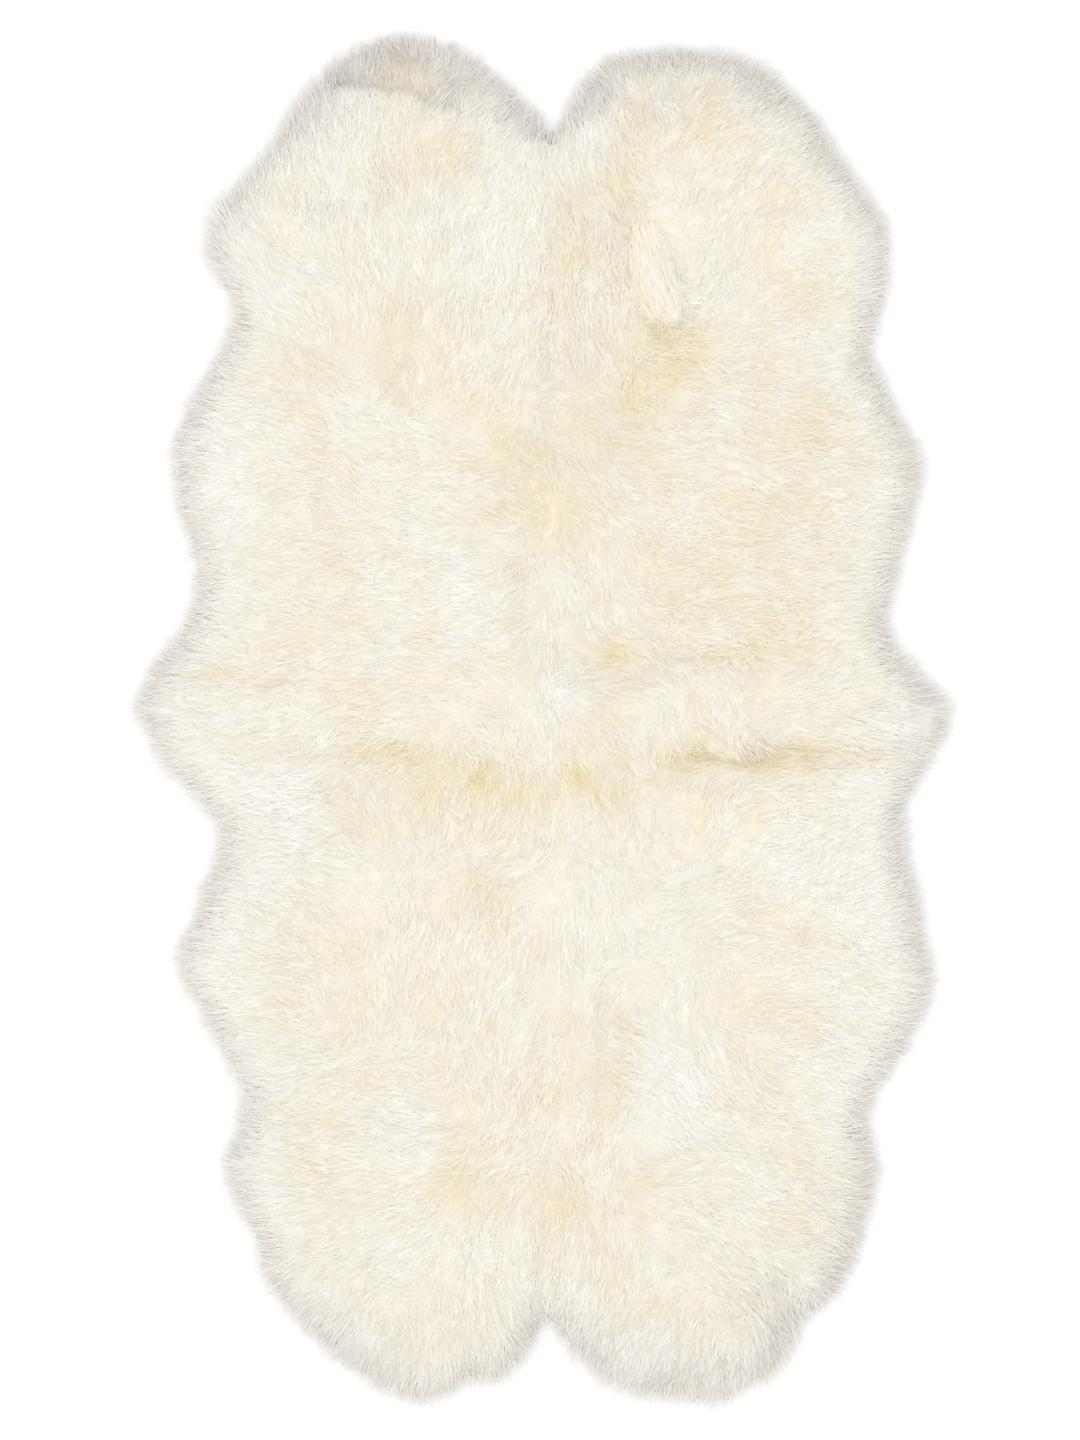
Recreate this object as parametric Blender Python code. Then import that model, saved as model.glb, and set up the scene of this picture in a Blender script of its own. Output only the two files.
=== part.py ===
"""Sheepskin rug of four pelts, lying flat with the wool up.

Metres, +Z up, +Y towards the upper neck ends.  The origin is under the middle
of the rug's box, on the surface that it lies on.

Each pelt is one closed solid: the skin and the wool that stands on it.  The
outline is where the wool reaches furthest.  From there the wool rolls up to
its full height on top, and under to the flat underside.  The four pelts are
sewn edge to edge along a spine seam and a cross seam, where the wool dips.
"""

import math

import bmesh
import bpy
import numpy as np
from mathutils.geometry import delaunay_2d_cdt

# ---------------------------------------------------------------- sizes (m)
PILE = 0.046          # height of the wool on the open pelt
RIM_Z = 0.013         # height at which the edge wool reaches furthest out
EDGE_ROLL = 0.046     # distance over which the wool rises to its full height
UNDER_ROLL = 0.012    # how far the flat underside stays back from the outline
SEAM_GAP = 0.0003     # space between two pelts that meet
EDGE_STEP = 0.024     # spacing of the points along an outline
FIELD_STEP = 0.034    # spacing of the points over the open pelt

TOP_RINGS = (0.0025, 0.008, 0.017, 0.030, 0.047)   # points in from the edge, on top
UNDER_RINGS = (0.0040, 0.012)                      # the same on the underside
SEAM_ROWS = (0.011, 0.030)                         # points beside a seam

# ------------------------------------------------------------------- seams
# landmark, x, y
SPINE_SEAM = (
    ("upper notch",    0.013,  0.788),
    ("upper neck",     0.014,  0.560),
    ("upper shoulder", 0.006,  0.360),
    ("upper back",     0.009,  0.060),
    ("crossing",       0.013, -0.081),
    ("lower back",     0.009, -0.241),
    ("lower loin",     0.015, -0.374),
    ("lower shoulder", 0.018, -0.548),
    ("lower neck",     0.009, -0.668),
    ("lower notch",    0.007, -0.810),
)
CROSS_SEAM = (
    ("left leg tip",   -0.540,  0.009),
    ("left leg",       -0.469, -0.011),
    ("left haunch",    -0.335, -0.021),
    ("left rump",      -0.188, -0.027),
    ("left tail",      -0.095, -0.050),
    ("crossing",        0.013, -0.081),
    ("right tail",      0.079, -0.070),
    ("right rump",      0.186, -0.050),
    ("right haunch",    0.292, -0.034),
    ("right leg",       0.466, -0.036),
    ("right leg tip",   0.543,  0.010),
)

# ------------------------------------------- free edge of each pelt
# landmark, x, y : where the wool reaches, from one seam's end to the other's
EDGE_UPPER_LEFT = (
    ("left leg tip",   -0.540,  0.009),
    ("leg top",        -0.522,  0.061),
    ("leg root",       -0.467,  0.149),
    ("waist",          -0.468,  0.221),
    ("flank low",      -0.485,  0.296),
    ("flank",          -0.488,  0.361),
    ("flank high",     -0.468,  0.423),
    ("armpit",         -0.416,  0.533),
    ("foreleg under",  -0.441,  0.602),
    ("foreleg tip",    -0.439,  0.664),
    ("shoulder",       -0.384,  0.743),
    ("neck side",      -0.269,  0.889),
    ("neck crown",     -0.184,  0.915),
    ("neck crown in",  -0.150,  0.913),
    ("neck inner",     -0.089,  0.887),
    ("upper notch",     0.013,  0.788),
)
EDGE_UPPER_RIGHT = (
    ("upper notch",     0.013,  0.788),
    ("neck inner",      0.075,  0.877),
    ("neck crown in",   0.126,  0.894),
    ("neck crown",      0.217,  0.897),
    ("neck side",       0.296,  0.876),
    ("neck low",        0.355,  0.824),
    ("shoulder",        0.401,  0.755),
    ("foreleg tip",     0.458,  0.662),
    ("foreleg under",   0.464,  0.596),
    ("armpit",          0.446,  0.487),
    ("flank",           0.508,  0.339),
    ("waist",           0.467,  0.127),
    ("leg root",        0.500,  0.068),
    ("leg top",         0.537,  0.030),
    ("right leg tip",   0.543,  0.010),
)
EDGE_LOWER_RIGHT = (
    ("right leg tip",   0.543,  0.010),
    ("leg under",       0.540, -0.022),
    ("waist",           0.492, -0.130),
    ("flank",           0.520, -0.365),
    ("armpit",          0.443, -0.526),
    ("foreleg tip",     0.449, -0.637),
    ("shoulder",        0.388, -0.775),
    ("shoulder in",     0.360, -0.801),
    ("neck side",       0.315, -0.870),
    ("neck low",        0.259, -0.904),
    ("neck crown",      0.214, -0.912),
    ("neck inner",      0.108, -0.897),
    ("lower notch",     0.007, -0.810),
)
EDGE_LOWER_LEFT = (
    ("lower notch",     0.007, -0.810),
    ("neck inner",     -0.045, -0.873),
    ("neck crown in",  -0.087, -0.887),
    ("neck crown",     -0.181, -0.909),
    ("neck side",      -0.261, -0.864),
    ("shoulder",       -0.373, -0.743),
    ("shoulder low",   -0.382, -0.692),
    ("foreleg tip",    -0.416, -0.622),
    ("foreleg under",  -0.421, -0.584),
    ("armpit",         -0.401, -0.508),
    ("flank low",      -0.479, -0.342),
    ("flank",          -0.482, -0.307),
    ("waist",          -0.435, -0.151),
    ("leg root",       -0.505, -0.062),
    ("left leg tip",   -0.540,  0.009),
)

# pelt, free edge, end of the spine seam it has, colour (r, g, b)
PELTS = (
    ("pelt_upper_left",  EDGE_UPPER_LEFT,  "up",   (0.90, 0.86, 0.74)),
    ("pelt_upper_right", EDGE_UPPER_RIGHT, "up",   (0.89, 0.85, 0.72)),
    ("pelt_lower_right", EDGE_LOWER_RIGHT, "down", (0.91, 0.87, 0.75)),
    ("pelt_lower_left",  EDGE_LOWER_LEFT,  "down", (0.92, 0.88, 0.76)),
)

# ------------------------------------------------ partings in the wool
# name, x0, y0, x1, y1, depth, half width
CREASES = (
    ("right neck, high",    0.126,  0.827,  0.121,  0.694, 0.005, 0.014),
    ("right neck, low",     0.121,  0.694,  0.139,  0.540, 0.010, 0.016),
    ("right neck, hook",    0.143,  0.516,  0.212,  0.522, 0.010, 0.017),
    ("right neck, tail",    0.165,  0.493,  0.132,  0.400, 0.005, 0.024),
    ("back, hollow",        0.000,  0.373, -0.015,  0.233, 0.006, 0.026),
    ("back, parting",      -0.015,  0.213, -0.015,  0.053, 0.005, 0.012),
    ("back, right hollow",  0.072,  0.133,  0.092,  0.053, 0.007, 0.018),
    ("left leg",           -0.469,  0.053, -0.282,  0.063, 0.004, 0.012),
    ("left neck, level",   -0.282,  0.687, -0.122,  0.694, 0.004, 0.014),
    ("left neck, slanted", -0.148,  0.707, -0.081,  0.754, 0.004, 0.014),
    ("left shoulder",      -0.188,  0.520, -0.182,  0.427, 0.006, 0.018),
    ("left shoulder, top", -0.142,  0.547, -0.004,  0.533, 0.003, 0.016),
    ("lower left, tail",   -0.081, -0.094, -0.055, -0.241, 0.005, 0.022),
    ("lower left, loin",   -0.055, -0.388, -0.148, -0.488, 0.004, 0.020),
    ("lower left, neck",   -0.135, -0.628, -0.041, -0.608, 0.005, 0.022),
    ("lower right, back",   0.126, -0.348,  0.079, -0.548, 0.005, 0.018),
    ("lower right, neck",   0.039, -0.628,  0.105, -0.695, 0.004, 0.018),
    ("lower right, edge",   0.285, -0.770,  0.330, -0.800, 0.005, 0.016),
)

# --------------------------------------------- mounds and hollows
# name, x, y, reach along x, reach along y, height
MOUNDS = (
    ("lower left mound",    -0.315, -0.121, 0.055, 0.045,  0.006),
    ("right neck lip",       0.170,  0.580, 0.034, 0.050,  0.006),
    ("left neck slope",     -0.188,  0.885, 0.125, 0.038, -0.009),
    ("left neck ridge",     -0.242,  0.822, 0.075, 0.022,  0.004),
    ("back tuft",            0.019,  0.039, 0.030, 0.030,  0.004),
    ("right loin mound",     0.212, -0.308, 0.060, 0.040,  0.004),
    ("right rib mound",      0.146, -0.455, 0.045, 0.050,  0.004),
    ("right rib hollow",     0.199, -0.588, 0.050, 0.035, -0.005),
    ("left neck hollow",    -0.215, -0.775, 0.040, 0.030, -0.005),
    ("left rib dimple",     -0.268,  0.320, 0.030, 0.030, -0.005),
    ("right leg flap",       0.452, -0.008, 0.050, 0.020,  0.004),
    ("right rump mound",     0.266,  0.039, 0.060, 0.035,  0.003),
    ("left flank mound",    -0.388, -0.254, 0.045, 0.060,  0.003),
    ("left shoulder mound", -0.162, -0.561, 0.070, 0.035,  0.004),
    ("left loin mound",     -0.075,  0.160, 0.040, 0.040,  0.003),
)

# seam dips: depth, half width
CROSS_DIP = (0.012, 0.022)
SPINE_DIP = (0.006, 0.026)


# -------------------------------------------------------------- geometry
def spline(rows, step):
    """Points every `step` or so on a smooth curve through a table's rows."""
    p = np.array([r[1:3] for r in rows], float)
    q = np.vstack([2 * p[0] - p[1], p, 2 * p[-1] - p[-2]])
    dense = []
    for i in range(1, len(q) - 2):
        p0, p1, p2, p3 = q[i - 1:i + 3]
        t1 = math.sqrt(np.linalg.norm(p1 - p0))
        t2 = t1 + math.sqrt(np.linalg.norm(p2 - p1))
        t3 = t2 + math.sqrt(np.linalg.norm(p3 - p2))
        for t in np.linspace(t1, t2, 40, endpoint=False):
            a1 = (t1 - t) / t1 * p0 + t / t1 * p1
            a2 = (t2 - t) / (t2 - t1) * p1 + (t - t1) / (t2 - t1) * p2
            a3 = (t3 - t) / (t3 - t2) * p2 + (t - t2) / (t3 - t2) * p3
            b1 = (t2 - t) / t2 * a1 + t / t2 * a2
            b2 = (t3 - t) / (t3 - t1) * a2 + (t - t1) / (t3 - t1) * a3
            dense.append((t2 - t) / (t2 - t1) * b1 + (t - t1) / (t2 - t1) * b2)
    dense.append(q[-2])
    return resample(np.array(dense), step)


def resample(dense, step, ends=()):
    """Even points on a polyline, with extra ones at `ends` from both ends."""
    s = np.concatenate([[0], np.cumsum(np.linalg.norm(np.diff(dense, axis=0), axis=1))])
    lead = list(ends)
    first = lead[-1] if lead else 0.0
    span = s[-1] - 2 * first
    n = max(2, int(round(span / step)))
    at = np.concatenate([[0.0] if lead else [], lead[:-1],
                         first + span * np.arange(n + 1) / n,
                         [s[-1] - e for e in reversed(lead[:-1])],
                         [s[-1]] if lead else []])
    return np.stack([np.interp(at, s, dense[:, 0]), np.interp(at, s, dense[:, 1])], 1)


def distance(points, line):
    """Distance from each point to a polyline."""
    a, b = line[:-1], line[1:]
    ab = b - a
    ap = points[:, None, :] - a[None]
    t = np.clip((ap * ab).sum(2) / np.maximum((ab * ab).sum(1), 1e-12), 0, 1)
    near = ap - t[..., None] * ab
    return np.sqrt((near ** 2).sum(2)).min(1)


def inside(points, loop):
    """Whether each point is inside a closed loop."""
    x, y = points[:, 0:1], points[:, 1:2]
    a, b = loop, np.roll(loop, -1, axis=0)
    crosses = (a[:, 1] > y) != (b[:, 1] > y)
    dy = np.where(np.abs(b[:, 1] - a[:, 1]) < 1e-12, 1e-12, b[:, 1] - a[:, 1])
    at = a[:, 0] + (y - a[:, 1]) * (b[:, 0] - a[:, 0]) / dy
    return (crosses & (x < at)).sum(1) % 2 == 1


def normals(line):
    """Left-hand normals of an open polyline, one a point."""
    d = np.gradient(line, axis=0)
    d /= np.linalg.norm(d, axis=1)[:, None]
    return np.stack([-d[:, 1], d[:, 0]], 1)


def mitred(line, gap):
    """A polyline moved to its left by `gap`, square at its bends."""
    d = np.diff(line, axis=0)
    d /= np.linalg.norm(d, axis=1)[:, None]
    n = np.stack([-d[:, 1], d[:, 0]], 1)
    before = np.vstack([n[:1], n])
    after = np.vstack([n, n[-1:]])
    return line + gap * (before + after) / (1 + (before * after).sum(1))[:, None]


FREE = [spline(edge, EDGE_STEP) for _, edge, _, _ in PELTS]
SPINE = spline(SPINE_SEAM, 0.004)
CROSS = spline(CROSS_SEAM, 0.004)


def edge_distance(points):
    """Distance to the nearest free edge of the rug."""
    return np.min([distance(points, f) for f in FREE], axis=0)


def under(d):
    """Height of the underside at distance d from the free edge."""
    t = np.clip(1 - d / UNDER_ROLL, 0, 1)
    return RIM_Z * (1 - np.sqrt(1 - t * t))


def top(points, d):
    """Height of the wool's top."""
    t = np.clip(1 - d / EDGE_ROLL, 0, 1)
    roll = np.sqrt(1 - t * t)
    height = np.full(len(points), PILE - RIM_Z)
    # slow waves of the wool over the whole rug
    x, y = points[:, 0], points[:, 1]
    height += 0.0012 * np.sin(19.0 * x + 7.0 * y + 0.8) + 0.0010 * np.sin(23.0 * y - 11.0 * x + 2.1)
    for _, mx, my, rx, ry, rise in MOUNDS:
        height += rise * np.exp(-((x - mx) / rx) ** 2 - ((y - my) / ry) ** 2)
    for _, x0, y0, x1, y1, depth, half in CREASES:
        r = distance(points, np.array([[x0, y0], [x1, y1]]))
        height -= depth * np.exp(-(r / half) ** 2)
    for line, (depth, half) in ((CROSS, CROSS_DIP), (SPINE, SPINE_DIP)):
        height -= depth * np.exp(-(distance(points, line) / half) ** 2)
    return RIM_Z + roll * height


def spaced(points, taken, least):
    """The points that keep `least` from each other and from those taken."""
    kept = [tuple(p) for p in taken]
    fresh = []
    for p in points:
        near = np.array(kept)
        if ((near - p) ** 2).sum(1).min() > least * least:
            kept.append(tuple(p))
            fresh.append(p)
    return fresh


def triangles(loop, points):
    """Triangles of a closed loop with inner points; the loop's points come first."""
    every = np.vstack([loop, points]) if len(points) else loop
    scale = 100.0
    coords, _, faces, origin, _, _ = delaunay_2d_cdt(
        [tuple(p * scale) for p in every], [], [list(range(len(loop)))], 1, 1e-7)
    back = {i: o[0] for i, o in enumerate(origin)}
    assert len(coords) == len(every), "points merged"
    return [[back[i] for i in f] for f in faces]


def seam_line(half):
    """The two seam runs of an upper or lower pelt, meeting at the crossing."""
    cross_at = np.array(SPINE_SEAM[4][1:3])
    i = int(np.argmin(((SPINE - cross_at) ** 2).sum(1)))
    spine = SPINE[:i + 1][::-1] if half == "up" else SPINE[i:]
    spine = spine.copy()
    spine[0] = cross_at
    return spine


def build_pelt(name, edge, half, colour):
    free = spline(edge, EDGE_STEP)
    left = "left" in name
    cross_at = np.array(SPINE_SEAM[4][1:3])
    i = int(np.argmin(((CROSS - cross_at) ** 2).sum(1)))
    arm = (CROSS[:i + 1][::-1] if left else CROSS[i:]).copy()
    arm[0] = cross_at
    ends = (0.004, 0.012, 0.026)
    arm = resample(arm, EDGE_STEP, ends)
    back = resample(seam_line(half), EDGE_STEP, ends)
    # counter-clockwise: free edge, then along the seams back to its start
    if name in ("pelt_upper_left", "pelt_lower_right"):
        # the free edge runs from the leg tip to the notch
        seam = np.vstack([back[::-1], arm[1:]])
    else:
        seam = np.vstack([arm[::-1], back[1:]])
    loop_area = np.vstack([free, seam[1:-1]])
    x, y = loop_area[:, 0], loop_area[:, 1]
    ccw = np.sum(x * np.roll(y, -1) - np.roll(x, -1) * y) > 0
    seam = mitred(seam, (SEAM_GAP / 2) * (1 if ccw else -1))
    rim = free[1:-1]
    loop = np.vstack([rim, seam])
    if not ccw:
        rim, seam = rim[::-1], seam[::-1]
        loop = np.vstack([rim, seam])
    n_rim = len(rim)

    # points in from the free edge
    side = normals(free)
    if not ccw:
        side = -side

    def ring(d):
        p = free + side * d
        ok = (edge_distance(p) > 0.93 * d) & inside(p, loop)
        return p[ok]

    seams_only = (SPINE, CROSS)

    def clear_of_seams(p, gap):
        return np.min([distance(p, s) for s in seams_only], axis=0) > gap

    inner = []
    for d in TOP_RINGS:
        p = ring(d)
        p = p[clear_of_seams(p, min(0.004, d))]
        inner += spaced(p, np.vstack([loop] + ([np.array(inner)] if inner else [])),
                        min(0.0018 + 0.12 * d, 0.009))
    for row in SEAM_ROWS:
        n = normals(seam) * row
        p = seam + n
        p = p[inside(p, loop) & (edge_distance(p) > 0.02) & clear_of_seams(p, 0.9 * row)]
        inner += spaced(p, np.vstack([loop, np.array(inner)]), 0.009)
    lines = []
    for _, x0, y0, x1, y1, depth, width in CREASES:
        a, b = np.array([x0, y0]), np.array([x1, y1])
        n = max(2, int(round(np.linalg.norm(b - a) / 0.030)))
        across = np.array([-(b - a)[1], (b - a)[0]]) / np.linalg.norm(b - a)
        for k in range(n + 1):
            for shift in (0.0, -1.1, 1.1):
                lines.append(a + (b - a) * k / n + across * width * shift)
    lines = np.array(lines)
    lines = lines[inside(lines, loop)]
    lines = lines[(edge_distance(lines) > 0.02) & clear_of_seams(lines, 0.009)]
    inner += spaced(lines, np.vstack([loop, np.array(inner)]), 0.013)

    lo, hi = loop.min(0), loop.max(0)
    rows = int((hi[1] - lo[1]) / (FIELD_STEP * 0.866)) + 1
    cols = int((hi[0] - lo[0]) / FIELD_STEP) + 1
    field = np.array([(lo[0] + (c + 0.5 * (r % 2)) * FIELD_STEP, lo[1] + r * FIELD_STEP * 0.866)
                      for r in range(rows) for c in range(cols)])
    field = field[inside(field, loop)]
    field = field[edge_distance(field) > 0.055]
    inner += spaced(field, np.vstack([loop, np.array(inner)]), 0.021)
    inner = np.array(inner)

    low = []
    for d in UNDER_RINGS:
        p = ring(d)
        p = p[clear_of_seams(p, min(0.004, d))]
        low += spaced(p, np.vstack([loop] + ([np.array(low)] if low else [])), 0.0035)
    low = np.array(low)

    d_loop = edge_distance(loop)
    d_loop[:n_rim] = 0.0
    d_loop[n_rim] = d_loop[-1] = 0.0

    bm = bmesh.new()
    rim_z = RIM_Z
    loop_top = top(loop, d_loop)
    loop_low = under(d_loop)
    tops, lows = [], []
    for k, p in enumerate(loop):
        shared = k <= n_rim or k == len(loop) - 1
        v = bm.verts.new((p[0], p[1], rim_z if shared else loop_top[k]))
        tops.append(v)
        lows.append(v if shared else bm.verts.new((p[0], p[1], loop_low[k])))
    for p, z in zip(inner, top(inner, edge_distance(inner))):
        tops.append(bm.verts.new((p[0], p[1], z)))
    for p, z in zip(low, under(edge_distance(low))):
        lows.append(bm.verts.new((p[0], p[1], z)))

    def upward(tri, pts):
        a, b, c = (pts[i] for i in tri)
        return (b[0] - a[0]) * (c[1] - a[1]) - (b[1] - a[1]) * (c[0] - a[0]) > 0

    flat_top = np.vstack([loop, inner])
    for tri in triangles(loop, inner):
        tri = tri if upward(tri, flat_top) else tri[::-1]
        bm.faces.new([tops[i] for i in tri])
    flat_low = np.vstack([loop, low])
    for tri in triangles(loop, low):
        tri = tri[::-1] if upward(tri, flat_low) else tri
        bm.faces.new([lows[i] for i in tri])
    # the sewn sides, which face the next pelt
    n = len(loop)
    for k in range(n_rim, n - 1):
        corners = [lows[k], lows[k + 1], tops[k + 1], tops[k]]
        once = []
        for v in corners:
            if v not in once:
                once.append(v)
        if len(once) == 4:
            bm.faces.new((once[0], once[1], once[2]))
            bm.faces.new((once[0], once[2], once[3]))
        elif len(once) == 3:
            bm.faces.new(once)
    bm.normal_update()

    mesh = bpy.data.meshes.new(name)
    bm.to_mesh(mesh)
    bm.free()
    obj = bpy.data.objects.new(name, mesh)
    bpy.context.scene.collection.objects.link(obj)

    mat = bpy.data.materials.new(name + "_wool")
    mat.use_nodes = True
    shader = mat.node_tree.nodes["Principled BSDF"]
    shader.inputs["Base Color"].default_value = (*colour, 1.0)
    shader.inputs["Roughness"].default_value = 0.9
    shader.inputs["Metallic"].default_value = 0.0
    mesh.materials.append(mat)
    mesh.shade_smooth()
    return obj


def main():
    for old in list(bpy.data.objects):
        bpy.data.objects.remove(old, do_unlink=True)
    pelts = [build_pelt(*row) for row in PELTS]
    # the middle of the rug's box over the origin
    spots = np.array([v.co[:2] for pelt in pelts for v in pelt.data.vertices])
    middle = (spots.min(0) + spots.max(0)) / 2
    for pelt in pelts:
        for v in pelt.data.vertices:
            v.co.x -= middle[0]
            v.co.y -= middle[1]


main()
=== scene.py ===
"""Looks of the sheepskin rug: the wool of four pelts, the skin under it and the sewn seams.

Every strand of wool is a narrow tapered blade that grows out of the pelt, follows the lay of
the wool and ends at a point.  They are made in arrays, from the outline, the seams and short
tables of creases, mounds, tints and turns.  Metres, +Z up, +Y towards the upper neck ends.
"""

import math

import bpy
import numpy as np
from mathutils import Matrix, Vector
from mathutils.geometry import delaunay_2d_cdt


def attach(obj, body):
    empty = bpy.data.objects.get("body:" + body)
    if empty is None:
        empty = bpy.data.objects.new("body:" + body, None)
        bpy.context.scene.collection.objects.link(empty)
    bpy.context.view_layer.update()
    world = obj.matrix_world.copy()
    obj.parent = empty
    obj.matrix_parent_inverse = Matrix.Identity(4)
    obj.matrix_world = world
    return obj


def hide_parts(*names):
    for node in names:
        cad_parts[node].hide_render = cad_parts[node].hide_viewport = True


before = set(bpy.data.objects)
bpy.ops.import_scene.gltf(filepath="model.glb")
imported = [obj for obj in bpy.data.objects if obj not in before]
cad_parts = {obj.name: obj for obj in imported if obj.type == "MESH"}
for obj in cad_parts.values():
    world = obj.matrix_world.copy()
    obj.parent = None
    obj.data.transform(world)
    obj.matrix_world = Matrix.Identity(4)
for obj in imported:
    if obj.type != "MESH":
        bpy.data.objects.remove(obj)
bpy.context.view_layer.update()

# ---------------------------------------------------------------- sizes (m)
PILE = 0.046          # height of the wool on the open pelt
RIM_Z = 0.013         # height at which the edge wool reaches furthest out
BACK = 0.013          # how far the thick wool stays back from the outline, where only tips reach
EDGE_ROLL = 0.046     # distance over which the thick wool rises to its full height
UNDER_ROLL = 0.012    # how far the wool's flat underside stays back from the outline
EDGE_STEP = 0.024     # spacing of the points along the outline, as in the solids
SKIN_INSET = 0.034    # how far the skin's edge stays back from the wool's outline
SKIN = 0.002          # thickness of the skin
SHADE = 0.06          # how much a strand's own side shows in its shading, on the open pelt
EDGE_SHADE = 0.21     # the same at the edge
BED = 0.0016          # how far the closed bed of wool lies under the strands' envelope, on the open pelt
EDGE_BED = 0.0060     # the same at the edge

# --------------------------------------------------------------- outline
# landmark, x, y
SPINE_SEAM = (
    ("upper notch",    0.013,  0.788),
    ("upper neck",     0.014,  0.560),
    ("upper shoulder", 0.006,  0.360),
    ("upper back",     0.009,  0.060),
    ("crossing",       0.013, -0.081),
    ("lower back",     0.009, -0.241),
    ("lower loin",     0.015, -0.374),
    ("lower shoulder", 0.018, -0.548),
    ("lower neck",     0.009, -0.668),
    ("lower notch",    0.007, -0.810),
)
CROSS_SEAM = (
    ("left leg tip",   -0.540,  0.009),
    ("left leg",       -0.469, -0.011),
    ("left haunch",    -0.335, -0.021),
    ("left rump",      -0.188, -0.027),
    ("left tail",      -0.095, -0.050),
    ("crossing",        0.013, -0.081),
    ("right tail",      0.079, -0.070),
    ("right rump",      0.186, -0.050),
    ("right haunch",    0.292, -0.034),
    ("right leg",       0.466, -0.036),
    ("right leg tip",   0.543,  0.010),
)
EDGE_UPPER_LEFT = (
    ("left leg tip",   -0.540,  0.009),
    ("leg top",        -0.522,  0.061),
    ("leg root",       -0.467,  0.149),
    ("waist",          -0.468,  0.221),
    ("flank low",      -0.485,  0.296),
    ("flank",          -0.488,  0.361),
    ("flank high",     -0.468,  0.423),
    ("armpit",         -0.416,  0.533),
    ("foreleg under",  -0.441,  0.602),
    ("foreleg tip",    -0.439,  0.664),
    ("shoulder",       -0.384,  0.743),
    ("neck side",      -0.269,  0.889),
    ("neck crown",     -0.184,  0.915),
    ("neck crown in",  -0.150,  0.913),
    ("neck inner",     -0.089,  0.887),
    ("upper notch",     0.013,  0.788),
)
EDGE_UPPER_RIGHT = (
    ("upper notch",     0.013,  0.788),
    ("neck inner",      0.075,  0.877),
    ("neck crown in",   0.126,  0.894),
    ("neck crown",      0.217,  0.897),
    ("neck side",       0.296,  0.876),
    ("neck low",        0.355,  0.824),
    ("shoulder",        0.401,  0.755),
    ("foreleg tip",     0.458,  0.662),
    ("foreleg under",   0.464,  0.596),
    ("armpit",          0.446,  0.487),
    ("flank",           0.508,  0.339),
    ("waist",           0.467,  0.127),
    ("leg root",        0.500,  0.068),
    ("leg top",         0.537,  0.030),
    ("right leg tip",   0.543,  0.010),
)
EDGE_LOWER_RIGHT = (
    ("right leg tip",   0.543,  0.010),
    ("leg under",       0.540, -0.022),
    ("waist",           0.492, -0.130),
    ("flank",           0.520, -0.365),
    ("armpit",          0.443, -0.526),
    ("foreleg tip",     0.449, -0.637),
    ("shoulder",        0.388, -0.775),
    ("shoulder in",     0.360, -0.801),
    ("neck side",       0.315, -0.870),
    ("neck low",        0.259, -0.904),
    ("neck crown",      0.214, -0.912),
    ("neck inner",      0.108, -0.897),
    ("lower notch",     0.007, -0.810),
)
EDGE_LOWER_LEFT = (
    ("lower notch",     0.007, -0.810),
    ("neck inner",     -0.045, -0.873),
    ("neck crown in",  -0.087, -0.887),
    ("neck crown",     -0.181, -0.909),
    ("neck side",      -0.261, -0.864),
    ("shoulder",       -0.373, -0.743),
    ("shoulder low",   -0.382, -0.692),
    ("foreleg tip",    -0.416, -0.622),
    ("foreleg under",  -0.421, -0.584),
    ("armpit",         -0.401, -0.508),
    ("flank low",      -0.479, -0.342),
    ("flank",          -0.482, -0.307),
    ("waist",          -0.435, -0.151),
    ("leg root",       -0.505, -0.062),
    ("left leg tip",   -0.540,  0.009),
)

# pelt, free edge, +1 upper or -1 lower, -1 left or +1 right
PELTS = (
    ("upper_left",  EDGE_UPPER_LEFT,  +1, -1),
    ("upper_right", EDGE_UPPER_RIGHT, +1, +1),
    ("lower_right", EDGE_LOWER_RIGHT, -1, +1),
    ("lower_left",  EDGE_LOWER_LEFT,  -1, -1),
)
UL, UR, LR, LL, NECK = range(5)      # the wool's zones: four pelts and the upper left neck's end

# where the upper left pelt's thick wool ends, above its short neck wool
# landmark, x, y
NECK_RIDGE = (
    ("off the edge", -0.330, 0.826),
    ("left",         -0.284, 0.837),
    ("middle",       -0.227, 0.838),
    ("turn",         -0.172, 0.831),
    ("step",         -0.148, 0.816),
    ("slope",        -0.091, 0.805),
    ("low slope",    -0.040, 0.790),
    ("notch",         0.004, 0.764),
)

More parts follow.
